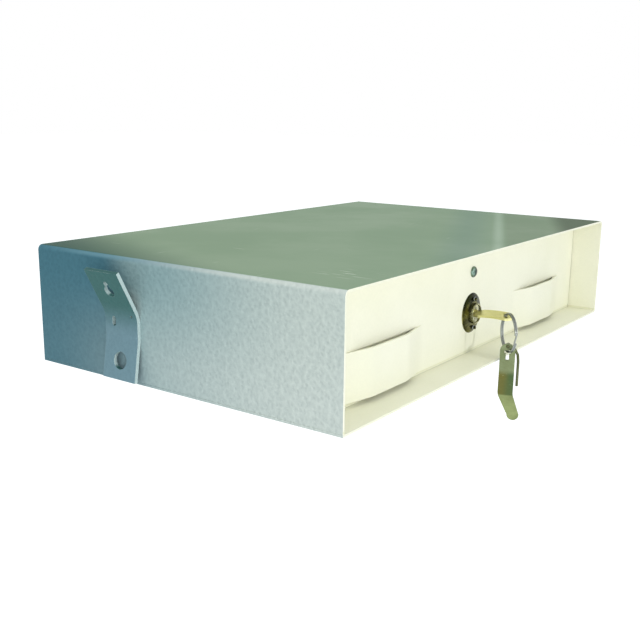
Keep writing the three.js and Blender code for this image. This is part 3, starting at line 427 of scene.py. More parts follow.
class Tree:
    """A node tree that is filled from left to right."""

    def __init__(self, tree: NodeTree) -> None:
        """Empties the tree."""
        self.tree = tree
        tree.nodes.clear()

    def node(self, kind: str, feeds: dict | None = None, **settings: object) -> bpy.types.Node:
        """Adds a node.

        Args:
            kind: The node's type.
            feeds: Sockets or values for its inputs, by name or number.
            **settings: Its attributes.

        Returns:
            The node.
        """
        made = self.tree.nodes.new(kind)
        made.location.x = 180 * len(self.tree.nodes)
        for name, value in settings.items():
            setattr(made, name, value)
        for place, source in (feeds or {}).items():
            self.feed(made.inputs[place], source)
        return made

    def feed(self, target: Socket, source: object) -> None:
        """Links a socket to an input, or sets the input's value."""
        if isinstance(source, Socket):
            self.tree.links.new(source, target)
        elif isinstance(source, tuple) and target.type == "RGBA":
            target.default_value = (*source, 1)
        else:
            target.default_value = source

    def math(self, operation: str, *values: object, clamp: bool = False) -> Socket:
        """Adds a Math node.

        Args:
            operation: Its operation.
            *values: Sockets or numbers for its inputs.
            clamp: True to keep the result between 0 and 1.

        Returns:
            The result.
        """
        feeds = dict(enumerate(values))
        return self.node("ShaderNodeMath", feeds, operation=operation, use_clamp=clamp).outputs[0]

    def times(self, first: object, second: object, clamp: bool = False) -> Socket:
        """Returns the product of two values."""
        return self.math("MULTIPLY", first, second, clamp=clamp)

    def minus(self, first: object, second: object) -> Socket:
        """Returns what is left of a value when a second one is taken from it."""
        return self.math("SUBTRACT", first, second)

    def larger(self, first: object, second: object) -> Socket:
        """Returns the larger one of two values."""
        return self.math("MAXIMUM", first, second)

    def spread(self, value: object, low: float, high: float, to: Pair = (0, 1)) -> object:
        """Maps a range of a value smoothly to another range.

        Args:
            value: The value.
            low: The value that gives the first limit.
            high: The value that gives the second.
            to: The two limits.

        Returns:
            The mapped value's socket.
        """
        feeds = dict(enumerate((value, low, high, *to)))
        return self.node("ShaderNodeMapRange", feeds, interpolation_type="SMOOTHSTEP").outputs[0]

    def band(self, value: object, middle: float, half: float) -> object:
        """Returns a mask that is 1 at a value's middle and falls to 0 a half width away."""
        return self.spread(self.math("ABSOLUTE", self.minus(value, middle)), half, 0)

    def mix(self, share: object, first: object, second: object, blend: str = "MIX") -> Socket:
        """Mixes two colours to some share of the second one.

        Args:
            share: The share.
            first: The first colour.
            second: The second colour.
            blend: The way of mixing.

        Returns:
            The mixed colour.
        """
        feeds = {0: share, 6: first, 7: second}
        return self.node("ShaderNodeMix", feeds, data_type="RGBA", blend_type=blend).outputs[2]

    def darkened(self, share: object, colour: object, by: Colour) -> Socket:
        """Multiplies a colour by a second one to some share, and returns the result."""
        return self.mix(share, colour, by, "MULTIPLY")

    def place(self) -> Socket:
        """Returns the position in the object's own frame, which is the shared one at rest."""
        return self.node("ShaderNodeTexCoord").outputs["Object"]

    def axes(self, vector: Socket) -> Sockets:
        """Splits a vector in its three numbers."""
        return self.node("ShaderNodeSeparateXYZ", {0: vector}).outputs

    def normal(self) -> Socket:
        """Returns the surface's normal."""
        return self.node("ShaderNodeNewGeometry").outputs["Normal"]

    def noise(self, vector: object, scale: object, detail: float = 2, rough: float = 0.5) -> object:
        """Adds a noise texture.

        Args:
            vector: The position that it reads.
            scale: Its scale, in features for each metre.
            detail: Its octaves.
            rough: Their strength.

        Returns:
            The socket of the texture's value.
        """
        feeds = {"Vector": vector, "Scale": scale, "Detail": detail, "Roughness": rough}
        return self.node("ShaderNodeTexNoise", feeds).outputs["Fac"]

    def strands(self, turn: Point, stretch: Point, scale: object, limits: Pair) -> object:
        """Adds a mask of thin strands: a noise that is turned, stretched and cut off.

        Args:
            turn: The angles that its position is turned by.
            stretch: The scale of its position along each axis.
            scale: The noise's scale.
            limits: The values between which the mask rises from 0 to 1.

        Returns:
            The mask's socket.
        """
        feeds = {"Vector": self.place(), "Rotation": turn, "Scale": stretch}
        mapping = self.node("ShaderNodeMapping", feeds)
        return self.spread(self.noise(mapping.outputs[0], scale, 1), *limits)

    def call(self, effect: "Effect", **values: object) -> Sockets:
        """Places a shared effect with its own values.

        Args:
            effect: The effect.
            **values: Its inputs by name.

        Returns:
            Its outputs.
        """
        return self.node("ShaderNodeGroup", values, node_tree=effects()[effect]).outputs


class Effect(Enum):
    """The effects that more than one material uses."""

    POWDER = "powder coat texture"
    CLOUDING = "slow colour variation"
    HAIRLINES = "fine scratches"
    WORN_EDGES = "worn edges"
    BRUSHING = "brushed grain"
    # Painted shade where surfaces meet closely.
    PAINTED_SHADE = "grime in corners"


def new_group(effect: Effect, inputs: dict[str, object], outputs: dict[str, str]) -> tuple:
    """Starts a node group.

    Args:
        effect: The effect that it makes.
        inputs: Default of each input by name: a number, a colour, or a Vector.
        outputs: Socket type of each output by name.

    Returns:
        The group's tree, its input sockets and its output node.
    """
    group = bpy.data.node_groups.new(effect.value, "ShaderNodeTree")
    kinds = {float: "Float", tuple: "Color", Vector: "Vector"}
    for name, default in inputs.items():
        kind = kinds[type(default)]
        socket = group.interface.new_socket(
            name, in_out="INPUT", socket_type=f"NodeSocket{kind}"
        )
        socket.default_value = (*default, 1) if kind == "Color" else default
    for name, kind in outputs.items():
        group.interface.new_socket(name, in_out="OUTPUT", socket_type=f"NodeSocket{kind}")
    tree = Tree(group)
    return tree, tree.node("NodeGroupInput").outputs, tree.node("NodeGroupOutput")


def powder_group() -> NodeTree:
    """Makes the pebbled texture of a powder coat: rounded islands with narrow valleys, whose low
    parts are darkened as painted shade.
    """
    tree, given, out = new_group(
        Effect.POWDER,
        {"Scale": 300.0, "Mottle": 0.1, "Colour": (0.8, 0.8, 0.8)},
        {"Height": "Float", "Colour": "Color"},
    )
    place = tree.place()
    feeds = {"Vector": place, "Scale": given["Scale"]}
    cells = tree.node("ShaderNodeTexVoronoi", feeds, feature="SMOOTH_F1")
    grain = tree.noise(place, tree.times(given["Scale"], 1.7), 3)
    pebbles = tree.times(cells.outputs["Distance"], 0.9)
    height = tree.math("ADD", pebbles, tree.times(grain, 0.6))
    # Painted shade: the low parts of the pebbles are darkened.
    lift = tree.spread(height, 0.35, 1.0)
    share = tree.times(tree.minus(1.0, lift), given["Mottle"])
    tree.feed(out.inputs["Height"], height)
    tree.feed(out.inputs["Colour"], tree.darkened(share, given["Colour"], (0.3, 0.36, 0.4)))
    return tree.tree


def clouding_group() -> NodeTree:
    """Makes a slow drift between two colours."""
    tree, given, out = new_group(
        Effect.CLOUDING,
        {"Colour": (0.8, 0.8, 0.8), "Tint": (0.6, 0.6, 0.6), "Scale": 9.0, "Amount": 0.3},
        {"Colour": "Color", "Mask": "Float"},
    )
    mask = tree.spread(tree.noise(tree.place(), given["Scale"], 4, 0.55), 0.3, 0.7)
    share = tree.times(mask, given["Amount"])
    tree.feed(out.inputs["Colour"], tree.mix(share, given["Colour"], given["Tint"]))
    tree.feed(out.inputs["Mask"], mask)
    return tree.tree


def hairlines_group() -> NodeTree:
    """Makes sparse fine scratches in two directions."""
    inputs = {"Scale": 60.0, "Amount": 0.5}
    tree, given, out = new_group(Effect.HAIRLINES, inputs, {"Mask": "Float"})
    fine = tree.times(given["Scale"], 6.0)
    lines = [
        tree.strands((0.2, 0.1, turn), stretch, fine, (0.72, 0.78))
        for turn, stretch in ((0.5, (1, 0.06, 1)), (-0.9, (0.08, 1, 1)))
    ]
    patches = tree.spread(tree.noise(tree.place(), given["Scale"], 1), 0.5, 0.7)
    both = tree.times(tree.larger(*lines), patches)
    tree.feed(out.inputs["Mask"], tree.times(both, given["Amount"], clamp=True))
    return tree.tree


def edge_turn(tree: Tree, radius: object) -> object:
    """Returns how squarely the surface faces its own rounded normal, 1 on a flat."""
    soft = tree.node("ShaderNodeBevel", {"Radius": radius}, samples=6).outputs[0]
    flat = tree.node("ShaderNodeNewGeometry").outputs["True Normal"]
    turn = tree.node("ShaderNodeVectorMath", {0: soft, 1: flat}, operation="DOT_PRODUCT")
    return turn.outputs["Value"]


def worn_edges_group() -> NodeTree:
    """Makes a mask that is strong at rounded edges and broken up by noise."""
    inputs = {"Radius": 0.0006, "Amount": 0.6}
    tree, given, out = new_group(Effect.WORN_EDGES, inputs, {"Mask": "Float"})
    edge = tree.spread(edge_turn(tree, given["Radius"]), 0.99, 0.86)
    patchy = tree.spread(tree.noise(tree.place(), 260.0, 3), 0.3, 0.6, (0.35, 1))
    mask = tree.times(edge, patchy)
    tree.feed(out.inputs["Mask"], tree.times(mask, given["Amount"], clamp=True))
    return tree.tree


def painted_shade_group() -> NodeTree:
    """Paints shade: darkens a colour where surfaces of the same piece meet closely, as ambient
    occlusion does.
    """
    tree, given, out = new_group(
        Effect.PAINTED_SHADE,
        {"Colour": (0.8, 0.8, 0.8), "Distance": 0.004, "Amount": 0.5},
        {"Colour": "Color"},
    )
    feeds = {"Distance": given["Distance"]}
    cover = tree.node("ShaderNodeAmbientOcclusion", feeds, samples=8, only_local=True)
    hidden = tree.spread(cover.outputs["AO"], 0.85, 0.25)
    share = tree.times(hidden, given["Amount"])
    tree.feed(out.inputs["Colour"], tree.darkened(share, given["Colour"], (0.32, 0.3, 0.2)))
    return tree.tree


def brushing_group() -> NodeTree:
    """Makes the fine streaks of brushed or rolled metal."""
    tree, given, out = new_group(
        Effect.BRUSHING,
        {"Stretch": Vector((900.0, 30.0, 900.0)), "Amount": 0.2, "Colour": (0.6, 0.6, 0.6)},
        {"Mask": "Float", "Colour": "Color"},
    )
    feeds = {0: tree.place(), 1: given["Stretch"]}
    scaled = tree.node("ShaderNodeVectorMath", feeds, operation="MULTIPLY")
    streak = tree.noise(scaled.outputs[0], 1.0, 3, 0.6)
    share = tree.times(streak, given["Amount"])
    tree.feed(out.inputs["Mask"], streak)
    tree.feed(out.inputs["Colour"], tree.darkened(share, given["Colour"], (0.25, 0.25, 0.22)))
    return tree.tree


_effects: dict[Effect, NodeTree] = {}


def effects() -> dict[Effect, NodeTree]:
    """Returns the shared effects, which are made at the first call."""
    if not _effects:
        makers = {
            Effect.POWDER: powder_group,
            Effect.CLOUDING: clouding_group,
            Effect.HAIRLINES: hairlines_group,
            Effect.WORN_EDGES: worn_edges_group,
            Effect.BRUSHING: brushing_group,
            Effect.PAINTED_SHADE: painted_shade_group,
        }
        for effect, maker in makers.items():
            _effects[effect] = maker()
    return _effects


def bump(tree: Tree, shader: bpy.types.Node, height: object, depth: float, strength: float) -> None:
    """Feeds a height into a shader's normal.

    Args:
        tree: The material's tree.
        shader: The shader.
        height: The height, 0 to 1.
        depth: Its depth in metres.
        strength: Its strength.
    """
    feeds = {"Strength": strength, "Distance": depth, "Height": height}
    tree.feed(shader.inputs["Normal"], tree.node("ShaderNodeBump", feeds).outputs[0])


# Finishes


@dataclass(frozen=True)
class Finish:
    """What every finish has: a name, a colour, a roughness and a specular level."""

    name: str
    colour: Colour
    roughness: float
    specular: float = 0.5

    def start(self) -> tuple[Tree, bpy.types.Node]:
        """Starts the material and returns its tree and its shader."""
        material = bpy.data.materials.new(self.name)
        material.use_nodes = True
        tree = Tree(material.node_tree)
        feeds = {"Roughness": self.roughness, "Specular IOR Level": self.specular}
        shader = tree.node("ShaderNodeBsdfPrincipled", feeds)
        tree.node("ShaderNodeOutputMaterial", {"Surface": shader.outputs[0]})
        return tree, shader

    def dress(self, tree: Tree, shader: bpy.types.Node) -> None:
        """Adds what this finish shows."""
        tree.feed(shader.inputs["Base Color"], self.colour)

    def material(self) -> bpy.types.Material:
        """Returns the material, which is made at the first call."""
        found = bpy.data.materials.get(self.name)
        if found:
            return found
        tree, shader = self.start()
        self.dress(tree, shader)
        return bpy.data.materials[self.name]


@dataclass(frozen=True)
class CasePaint(Finish):
    """The case's outside: a smooth sage top and pebbled grey-blue sides, tints that are painted
    light and shade on one pale coat.
    """

    # Painted shade: the sides deepen from front to rear; painted light pales them towards the
    # bottom.
    side_front: Colour = srgb(211, 222, 216)
    side_middle: Colour = srgb(154, 183, 186)
    side_rear_shade: Colour = srgb(83, 129, 144)
    side_low_light: Colour = srgb(226, 234, 229)
    # Painted highlight along the bend, fading to painted shade towards the rear.
    bend: Colour = srgb(214, 222, 216)
    bend_rear_shade: Colour = srgb(108, 150, 164)
    # Painted shade and painted reflections on the top: darker corners, a cooler band and a pale
    # streak.
    top_corner_shade: Colour = srgb(18, 72, 60)
    top_cool: Colour = srgb(128, 154, 132)
    top_right_shade: Colour = srgb(128, 149, 120)
    top_far_shade: Colour = srgb(76, 92, 66)
    top_reflection: Colour = srgb(186, 205, 184)
    top_cloud: Colour = srgb(126, 150, 128)
    rubbed: Colour = srgb(222, 230, 214)
    pebbles: float = 300.0

    def sides(self, tree: Tree, place: Sockets) -> Socket:
        """Returns the sides' colour: painted shade that deepens towards the rear, painted light
        that pales it downwards, and a pale painted light patch beside the strap's flange.
        """
        # Painted shade: darker from front to rear.
        near = tree.mix(tree.spread(place["Y"], -0.14, 0.025), self.side_front, self.side_middle)
        along = tree.minus(place["Y"], tree.times(place["Z"], 0.3))
        far = tree.mix(tree.spread(along, 0.042, 0.08), near, self.side_rear_shade)
        # Painted light: paler towards the bottom.
        share = tree.spread(place["Y"], 0.15, -0.045, (0.05, 0.48))
        low = tree.times(tree.spread(place["Z"], -0.01, -0.09), share)
        # Painted light: a pale patch beside the strap's flange, where its shadow falls.
        lit_patch_area = tree.times(tree.band(place["Y"], 0.044, 0.017), tree.band(place["Z"], -0.042, 0.024))
        painted_light_patch = tree.times(lit_patch_area, 0.6)
        return tree.mix(tree.larger(low, painted_light_patch), far, self.side_low_light)

    def top(self, tree: Tree, place: Sockets) -> Socket:
        """Returns the top's colour, with painted shade at its rear left and front right corners, a
        cooler painted band and a pale painted reflection streak.
        """
        left = tree.minus(tree.times(place["Y"], 0.42), place["X"])
        # Painted shade at the rear left corner.
        corner = tree.mix(tree.spread(left, 0.203, 0.298), self.colour, self.top_corner_shade)
        across = tree.minus(place["Y"], tree.times(place["X"], 0.458))
        # A cooler band across the top, painted light and shade.
        cool = tree.mix(tree.band(across, -0.115, 0.035), corner, self.top_cool)
        # Painted shade towards the front right corner.
        right = tree.mix(tree.spread(across, -0.15, -0.158), cool, self.top_right_shade)
        far = tree.mix(tree.spread(across, -0.2, -0.224), right, self.top_far_shade)
        # Painted reflection: a pale streak across the top.
        reflection_streak = tree.times(tree.band(across, -0.147, 0.008), 0.5)
        return tree.mix(reflection_streak, far, self.top_reflection)

    def scratches(self, tree: Tree, place: Sockets) -> Socket:
        """Returns the mask of the scratched patch near the top's front left corner."""
        strand = tree.strands((0, 0, 0.95), (1, 0.09, 1), 420.0, (0.62, 0.68))
        near_x = tree.band(place["X"], -0.194, 0.022)
        near_y = tree.band(place["Y"], -0.12, 0.034)
        return tree.times(strand, tree.times(near_x, near_y))

    def dress(self, tree: Tree, shader: bpy.types.Node) -> None:
        """Mixes the top's and the sides' colour by the way the surface faces, as painted light and
        shade on one coat.
        """
        place = tree.axes(tree.place())
        up = tree.axes(tree.normal())["Z"]
        flat = tree.spread(up, 0.9, 0.999)
        top = self.top(tree, place)
        clouds = tree.call(
            Effect.CLOUDING, Colour=top, Tint=self.top_cloud, Scale=7.0, Amount=0.22
        )
        sides = self.sides(tree, place)
        powder = tree.call(Effect.POWDER, Scale=self.pebbles, Mottle=0.17, Colour=sides)
        # Painted highlight on the bend, paler towards the front and deeper towards the rear.
        pale = tree.mix(tree.spread(place["Y"], 0.09, -0.09), self.bend_rear_shade, self.bend)
        bend = tree.times(tree.band(up, 0.7, 0.6), tree.spread(place["Y"], 0.155, 0.08))
        side = tree.mix(bend, powder["Colour"], pale)
        # Painted light and shade: faces that look up take the top's tint, the rest the sides'.
        paint = tree.mix(flat, side, clouds["Colour"])
        fine = tree.call(Effect.HAIRLINES, Scale=40.0, Amount=0.2)
        marks = tree.larger(fine["Mask"], self.scratches(tree, place))
        rubbed = tree.mix(tree.times(marks, flat), paint, self.rubbed)
        worn = tree.call(Effect.WORN_EDGES, Radius=0.0008, Amount=0.35)
        edged = tree.mix(worn["Mask"], rubbed, self.rubbed)
        # Painted shade where surfaces meet closely.
        painted_shade = tree.call(Effect.PAINTED_SHADE, Colour=edged, Distance=0.004, Amount=0.4)
        tree.feed(shader.inputs["Base Color"], painted_shade["Colour"])
        low, high = self.roughness, self.roughness + 0.1
        tree.feed(shader.inputs["Roughness"], tree.spread(clouds["Mask"], 0, 1, (low, high)))
        front = tree.spread(place["Y"], 0.09, -0.02, (0.35, 1.05))
        relief = tree.times(tree.minus(1.05, flat), front)
        bump(tree, shader, tree.times(powder["Height"], relief), 0.0007, 0.9)


@dataclass(frozen=True)
class StrapPaint(Finish):
    """The straps' coat: deep teal painted shade on the leaning flange, paler below, and painted
    light on the cut edges and hole walls.
    """

    foot: Colour = srgb(127, 159, 171)
    # Painted light on forward-facing cut edges, and the colour of worn edges.
    edge: Colour = srgb(188, 207, 207)
    # Painted light on the hole walls and the other cut edges.
    hole: Colour = srgb(158, 190, 184)
    # Painted shade on faces that look up.
    brow_shade: Colour = srgb(62, 104, 102)

    def dress(self, tree: Tree, shader: bpy.types.Node) -> None:
        """Mixes painted shade on the flange, the paler foot, painted light on cut edges and hole
        walls, and painted shade on faces that look up, by height and by the way the surface faces.
        """
        place = tree.axes(tree.place())
        facing = tree.axes(tree.normal())
        # Painted shade: the flange is darker than the foot.
        faces = tree.mix(tree.spread(place["Z"], -0.034, -0.062), self.colour, self.foot)
        powder = tree.call(Effect.POWDER, Scale=420.0, Mottle=0.12, Colour=faces)
        # Painted light on forward-facing cut edges and on hole walls.
        ahead = tree.spread(facing["Y"], -0.5, -0.95)
        behind = tree.spread(tree.math("ABSOLUTE", facing["X"]), 0.5, 0.25)
        beyond = tree.spread(place["Y"], 0.04, 0.044, (0, 0.7))
        edged = tree.mix(tree.times(behind, beyond), powder["Colour"], self.hole)
        # Painted shade on faces that look up.
        upward_shaded = tree.mix(tree.spread(facing["Z"], 0.5, 0.8), edged, self.brow_shade)
        pale = tree.mix(ahead, upward_shaded, self.edge)
        worn = tree.call(Effect.WORN_EDGES, Radius=0.0006, Amount=0.6)
        rubbed = tree.mix(tree.times(worn["Mask"], beyond), pale, self.edge)
        # Painted shade where surfaces meet closely.
        painted_shade = tree.call(Effect.PAINTED_SHADE, Colour=rubbed, Distance=0.003, Amount=0.5)
        tree.feed(shader.inputs["Base Color"], painted_shade["Colour"])
        bump(tree, shader, powder["Height"], 0.0004, 0.4)


@dataclass(frozen=True)
class FrontPaint(Finish):
    """The warm white coat of the front, the recess and the tray."""

    cloud: Colour = srgb(236, 236, 212)
    worn: Colour = srgb(252, 252, 240)
    # Painted shade on the lip below the front, in the floor's darker tone.
    lip: Colour = srgb(228, 228, 200)
    lip_z: float = -0.0965
    lip_half: float = 0.0014

    def dress(self, tree: Tree, shader: bpy.types.Node) -> None:
        """Adds clouding, painted shade in the corners, worn edges, and a band of painted shade on
        the lip below the front.
        """
        clouds = tree.call(
            Effect.CLOUDING, Colour=self.colour, Tint=self.cloud, Scale=14.0, Amount=0.4
        )
        powder = tree.call(Effect.POWDER, Scale=520.0, Mottle=0.03, Colour=clouds["Colour"])
        # Painted shade where surfaces meet closely.
        painted_shade = tree.call(Effect.PAINTED_SHADE, Colour=powder["Colour"], Distance=0.006, Amount=0.15)
        worn = tree.call(Effect.WORN_EDGES, Radius=0.0006, Amount=0.3)
        edged = tree.mix(worn["Mask"], painted_shade["Colour"], self.worn)
        # Painted shade: a band along the lip.
        lip = tree.band(tree.axes(tree.place())["Z"], self.lip_z, self.lip_half)
        tree.feed(shader.inputs["Base Color"], tree.mix(lip, edged, self.lip))
        bump(tree, shader, powder["Height"], 0.0002, 0.3)


@dataclass(frozen=True)
class BareMetal(Finish):
    """Plated or polished metal with a grain, stains and scratches, and painted shade on the faces
    that turn one way.
    """

    tint: Colour = srgb(90, 90, 90)
    stretch: Point = (900.0, 60.0, 900.0)
    stain_scale: float = 60.0
    stain: float = 0.4
    # Painted shade: faces turned this way are darkened.
    shade: Point = (0, 0, 0)
    shine: float = 0.5

    def base(self, tree: Tree) -> object:
        """Returns the colour before stains and grain."""
        return self.colour

    def dress(self, tree: Tree, shader: bpy.types.Node) -> None:
        """Adds grain, stains, scratches and bright edges, painted shade in corners, and painted
        shade on faces turned along the shade direction.
        """
        shader.inputs["Metallic"].default_value = 1
        clouds = tree.call(
            Effect.CLOUDING,
            Colour=self.base(tree),
            Tint=self.tint,
            Scale=self.stain_scale,
            Amount=self.stain,
        )
        grain = tree.call(
            Effect.BRUSHING, Stretch=self.stretch, Amount=0.3, Colour=clouds["Colour"]
        )
        # Painted shade where surfaces meet closely.
        painted_shade = tree.call(Effect.PAINTED_SHADE, Colour=grain["Colour"], Distance=0.002, Amount=0.8)
        scratches = tree.call(Effect.HAIRLINES, Scale=160.0, Amount=0.5)
        worn = tree.call(Effect.WORN_EDGES, Radius=0.0003, Amount=self.shine)
        bright = tuple(min(1.0, channel * 1.5 + 0.05) for channel in self.colour)
        marks = tree.larger(scratches["Mask"], worn["Mask"])
        marked = tree.mix(marks, painted_shade["Colour"], bright)
        # Painted shade on faces turned along the shade direction.
        feeds = {0: tree.normal(), 1: self.shade}
        turned = tree.node("ShaderNodeVectorMath", feeds, operation="DOT_PRODUCT")
        dark = tree.spread(turned.outputs["Value"], 0.1, 1)
        tree.feed(shader.inputs["Base Color"], tree.darkened(dark, marked, (0.12, 0.16, 0.14)))
        low, high = self.roughness - 0.06, self.roughness + 0.12
        rough = tree.spread(grain["Mask"], 0.2, 0.8, (low, high))
        tree.feed(shader.inputs["Roughness"], rough)
        bump(tree, shader, grain["Mask"], 0.00004, 0.5)


@dataclass(frozen=True)
class FoldedSteel(BareMetal):
    """The spare key's metal, with painted shade between its two folds and to one side of them, and
    painted light on the tip.
    """

    # Painted shade: the middle facet, deeper on one side.
    between: Colour = srgb(106, 104, 57)
    aside: Colour = srgb(76, 96, 62)
    # Painted light on the tip facet.
    tip: Colour = srgb(144, 155, 106)
    folds: Pair = (-0.110, -0.127)

    def base(self, tree: Tree) -> object:
        """Returns the colour along the strip, which changes at its folds: painted shade on the
        middle facet, deeper to one side, and painted light on the tip.
        """
        place = tree.axes(tree.place())
        first, second = self.folds
        across = tree.spread(place["Y"], -0.163, -0.170)
        middle = tree.mix(across, self.between, self.aside)
        upper = tree.mix(tree.spread(place["Z"], first + 0.006, first - 0.001), self.colour, middle)
        return tree.mix(tree.spread(place["Z"], second + 0.0005, second - 0.001), upper, self.tip)


@dataclass(frozen=True)
class Nylon(Finish):
    """Moulded nylon with a little dirt."""

    def dress(self, tree: Tree, shader: bpy.types.Node) -> None:
        """Adds clouding and a fine texture."""
        clouds = tree.call(
            Effect.CLOUDING, Colour=self.colour, Tint=srgb(190, 186, 172), Scale=120.0, Amount=0.5
        )
        powder = tree.call(Effect.POWDER, Scale=1400.0, Mottle=0.05, Colour=clouds["Colour"])
        tree.feed(shader.inputs["Base Color"], powder["Colour"])
        bump(tree, shader, powder["Height"], 0.00005, 0.4)


CASE_PAINT = CasePaint("case paint", srgb(139, 163, 133), 0.36, 0.02)
STRAP_PAINT = StrapPaint("strap paint", srgb(72, 118, 116), 0.4, 0.05)
FRONT_PAINT = FrontPaint("front paint", srgb(245, 244, 226), 0.42, 0.3)
ZINC = BareMetal("zinc plate", srgb(186, 190, 186), 0.38, tint=srgb(150, 152, 140), stain=0.5)
NYLON = Nylon("nylon", srgb(232, 229, 218), 0.45)
ROSE_BRASS = BareMetal(
    "darkened brass",
    srgb(124, 120, 56),
    0.2,
    tint=srgb(26, 30, 16),
    stain_scale=110.0,
    stain=1.0,
    # Painted shade on the rose's up-facing upper part.
    shade=(0.6, 0, 5.0),
)
BARREL_BRASS = BareMetal(
    "worn brass", srgb(206, 204, 160), 0.14, tint=srgb(44, 46, 26), stain_scale=300.0, stain=0.9
)
SCREW_STEEL = BareMetal(
    "passivated steel",
    srgb(142, 166, 153),
    0.16,
    tint=srgb(60, 92, 84),
    stain_scale=260.0,
    stain=0.6,
    # Painted shade on the screw head's front, right and lower side.
    shade=(3.0, -1.2, -0.8),
)
KEY_BRASS = BareMetal("key brass", srgb(240, 235, 172), 0.34, tint=srgb(196, 190, 116), stain=0.5)
BOLT_BRASS = BareMetal("bolt brass", srgb(204, 184, 120), 0.36, tint=srgb(160, 140, 84), stain=0.5)
BRIGHT_STEEL = BareMetal(
    "bright steel", srgb(160, 165, 162), 0.3, tint=srgb(92, 98, 96), stain=0.5
)
SPARE_STEEL = FoldedSteel(
    "spare key steel", srgb(134, 145, 110), 0.34, tint=srgb(96, 104, 66), stain=0.5, shine=0.15
)
SHANK_STEEL = BareMetal("shank steel", srgb(104, 108, 78), 0.34, tint=srgb(60, 64, 44), stain=0.6)


def parted(piece: Piece, outside: Callable[[Vector, Vector], bool]) -> None:
    """Gives the second finish to faces.

    Args:
        piece: The object.
        outside: Says by a face's middle and normal if it gets the second finish.
    """
    for face in piece.data.polygons:
        face.material_index = int(outside(face.center, face.normal))


# Sub-assemblies, in millimetres


@dataclass
class Case:
    """The folded sleeve and the floor that closes it."""

    half: float = 245
    front: float = -155
    rear: float = 155
    foot: float = -100
    sheet: float = 2
    bend: float = 3.5
    edge: float = 0.35

    def build_sleeve(self) -> None:
        """Folds the top and both sides from one sheet, painted cream inside and on its rims, where
        the cream on the forward-facing rims is painted light.
        """
        middle = self.half - self.sheet / 2
        top, low = -self.sheet / 2, self.foot + self.sheet
        corners = [(-middle, low), (-middle, top), (middle, top), (middle, low)]
        sleeve = folded(corners, self.bend, self.sheet, self.front, self.rear)
        placed(finished(sleeve, self.edge, 3), "case_sleeve", CASE_PAINT, FRONT_PAINT)
        core = Vector((0, 0, self.foot / 2)) * MM
        rim = self.edge * MM

        def inside(middle: Vector, normal: Vector) -> bool:
            """Says if a face looks into the case or forwards."""
            away = middle - core
            away.y = 0
            # Painted light: rims that face forwards take the pale cream coat.
            ahead = normal.y < -0.5 and middle.y < self.front * MM + rim
            return ahead or (abs(normal.y) < 0.5 and normal.dot(away) < 0)

        parted(sleeve, inside)

    def build_floor(self) -> None:
        """Makes the floor plate, whose side edges and underside carry the outer paint."""
        low = (-self.half, self.front, self.foot)
        floor = block(low, (self.half, self.rear, self.foot + self.sheet))
        placed(finished(floor, self.edge, 3), "case_floor", CASE_PAINT, FRONT_PAINT)
        wall = (self.half - self.edge) * MM

        def cream(middle: Vector, normal: Vector) -> bool:
            """Says if a face looks up into the case or forwards."""
            # Painted light: the forward-facing edge takes the pale cream coat.
            return abs(middle.x) < wall and (normal.z > 0.3 or normal.y < -0.5)

        parted(floor, cream)

    def build(self) -> None:
        """Builds the case, and coats its rear panel and strike."""
        self.build_sleeve()
        self.build_floor()
        refined("case_rear_panel", 0.5, CASE_PAINT)
        refined("strike_plate", 0.3, ZINC)


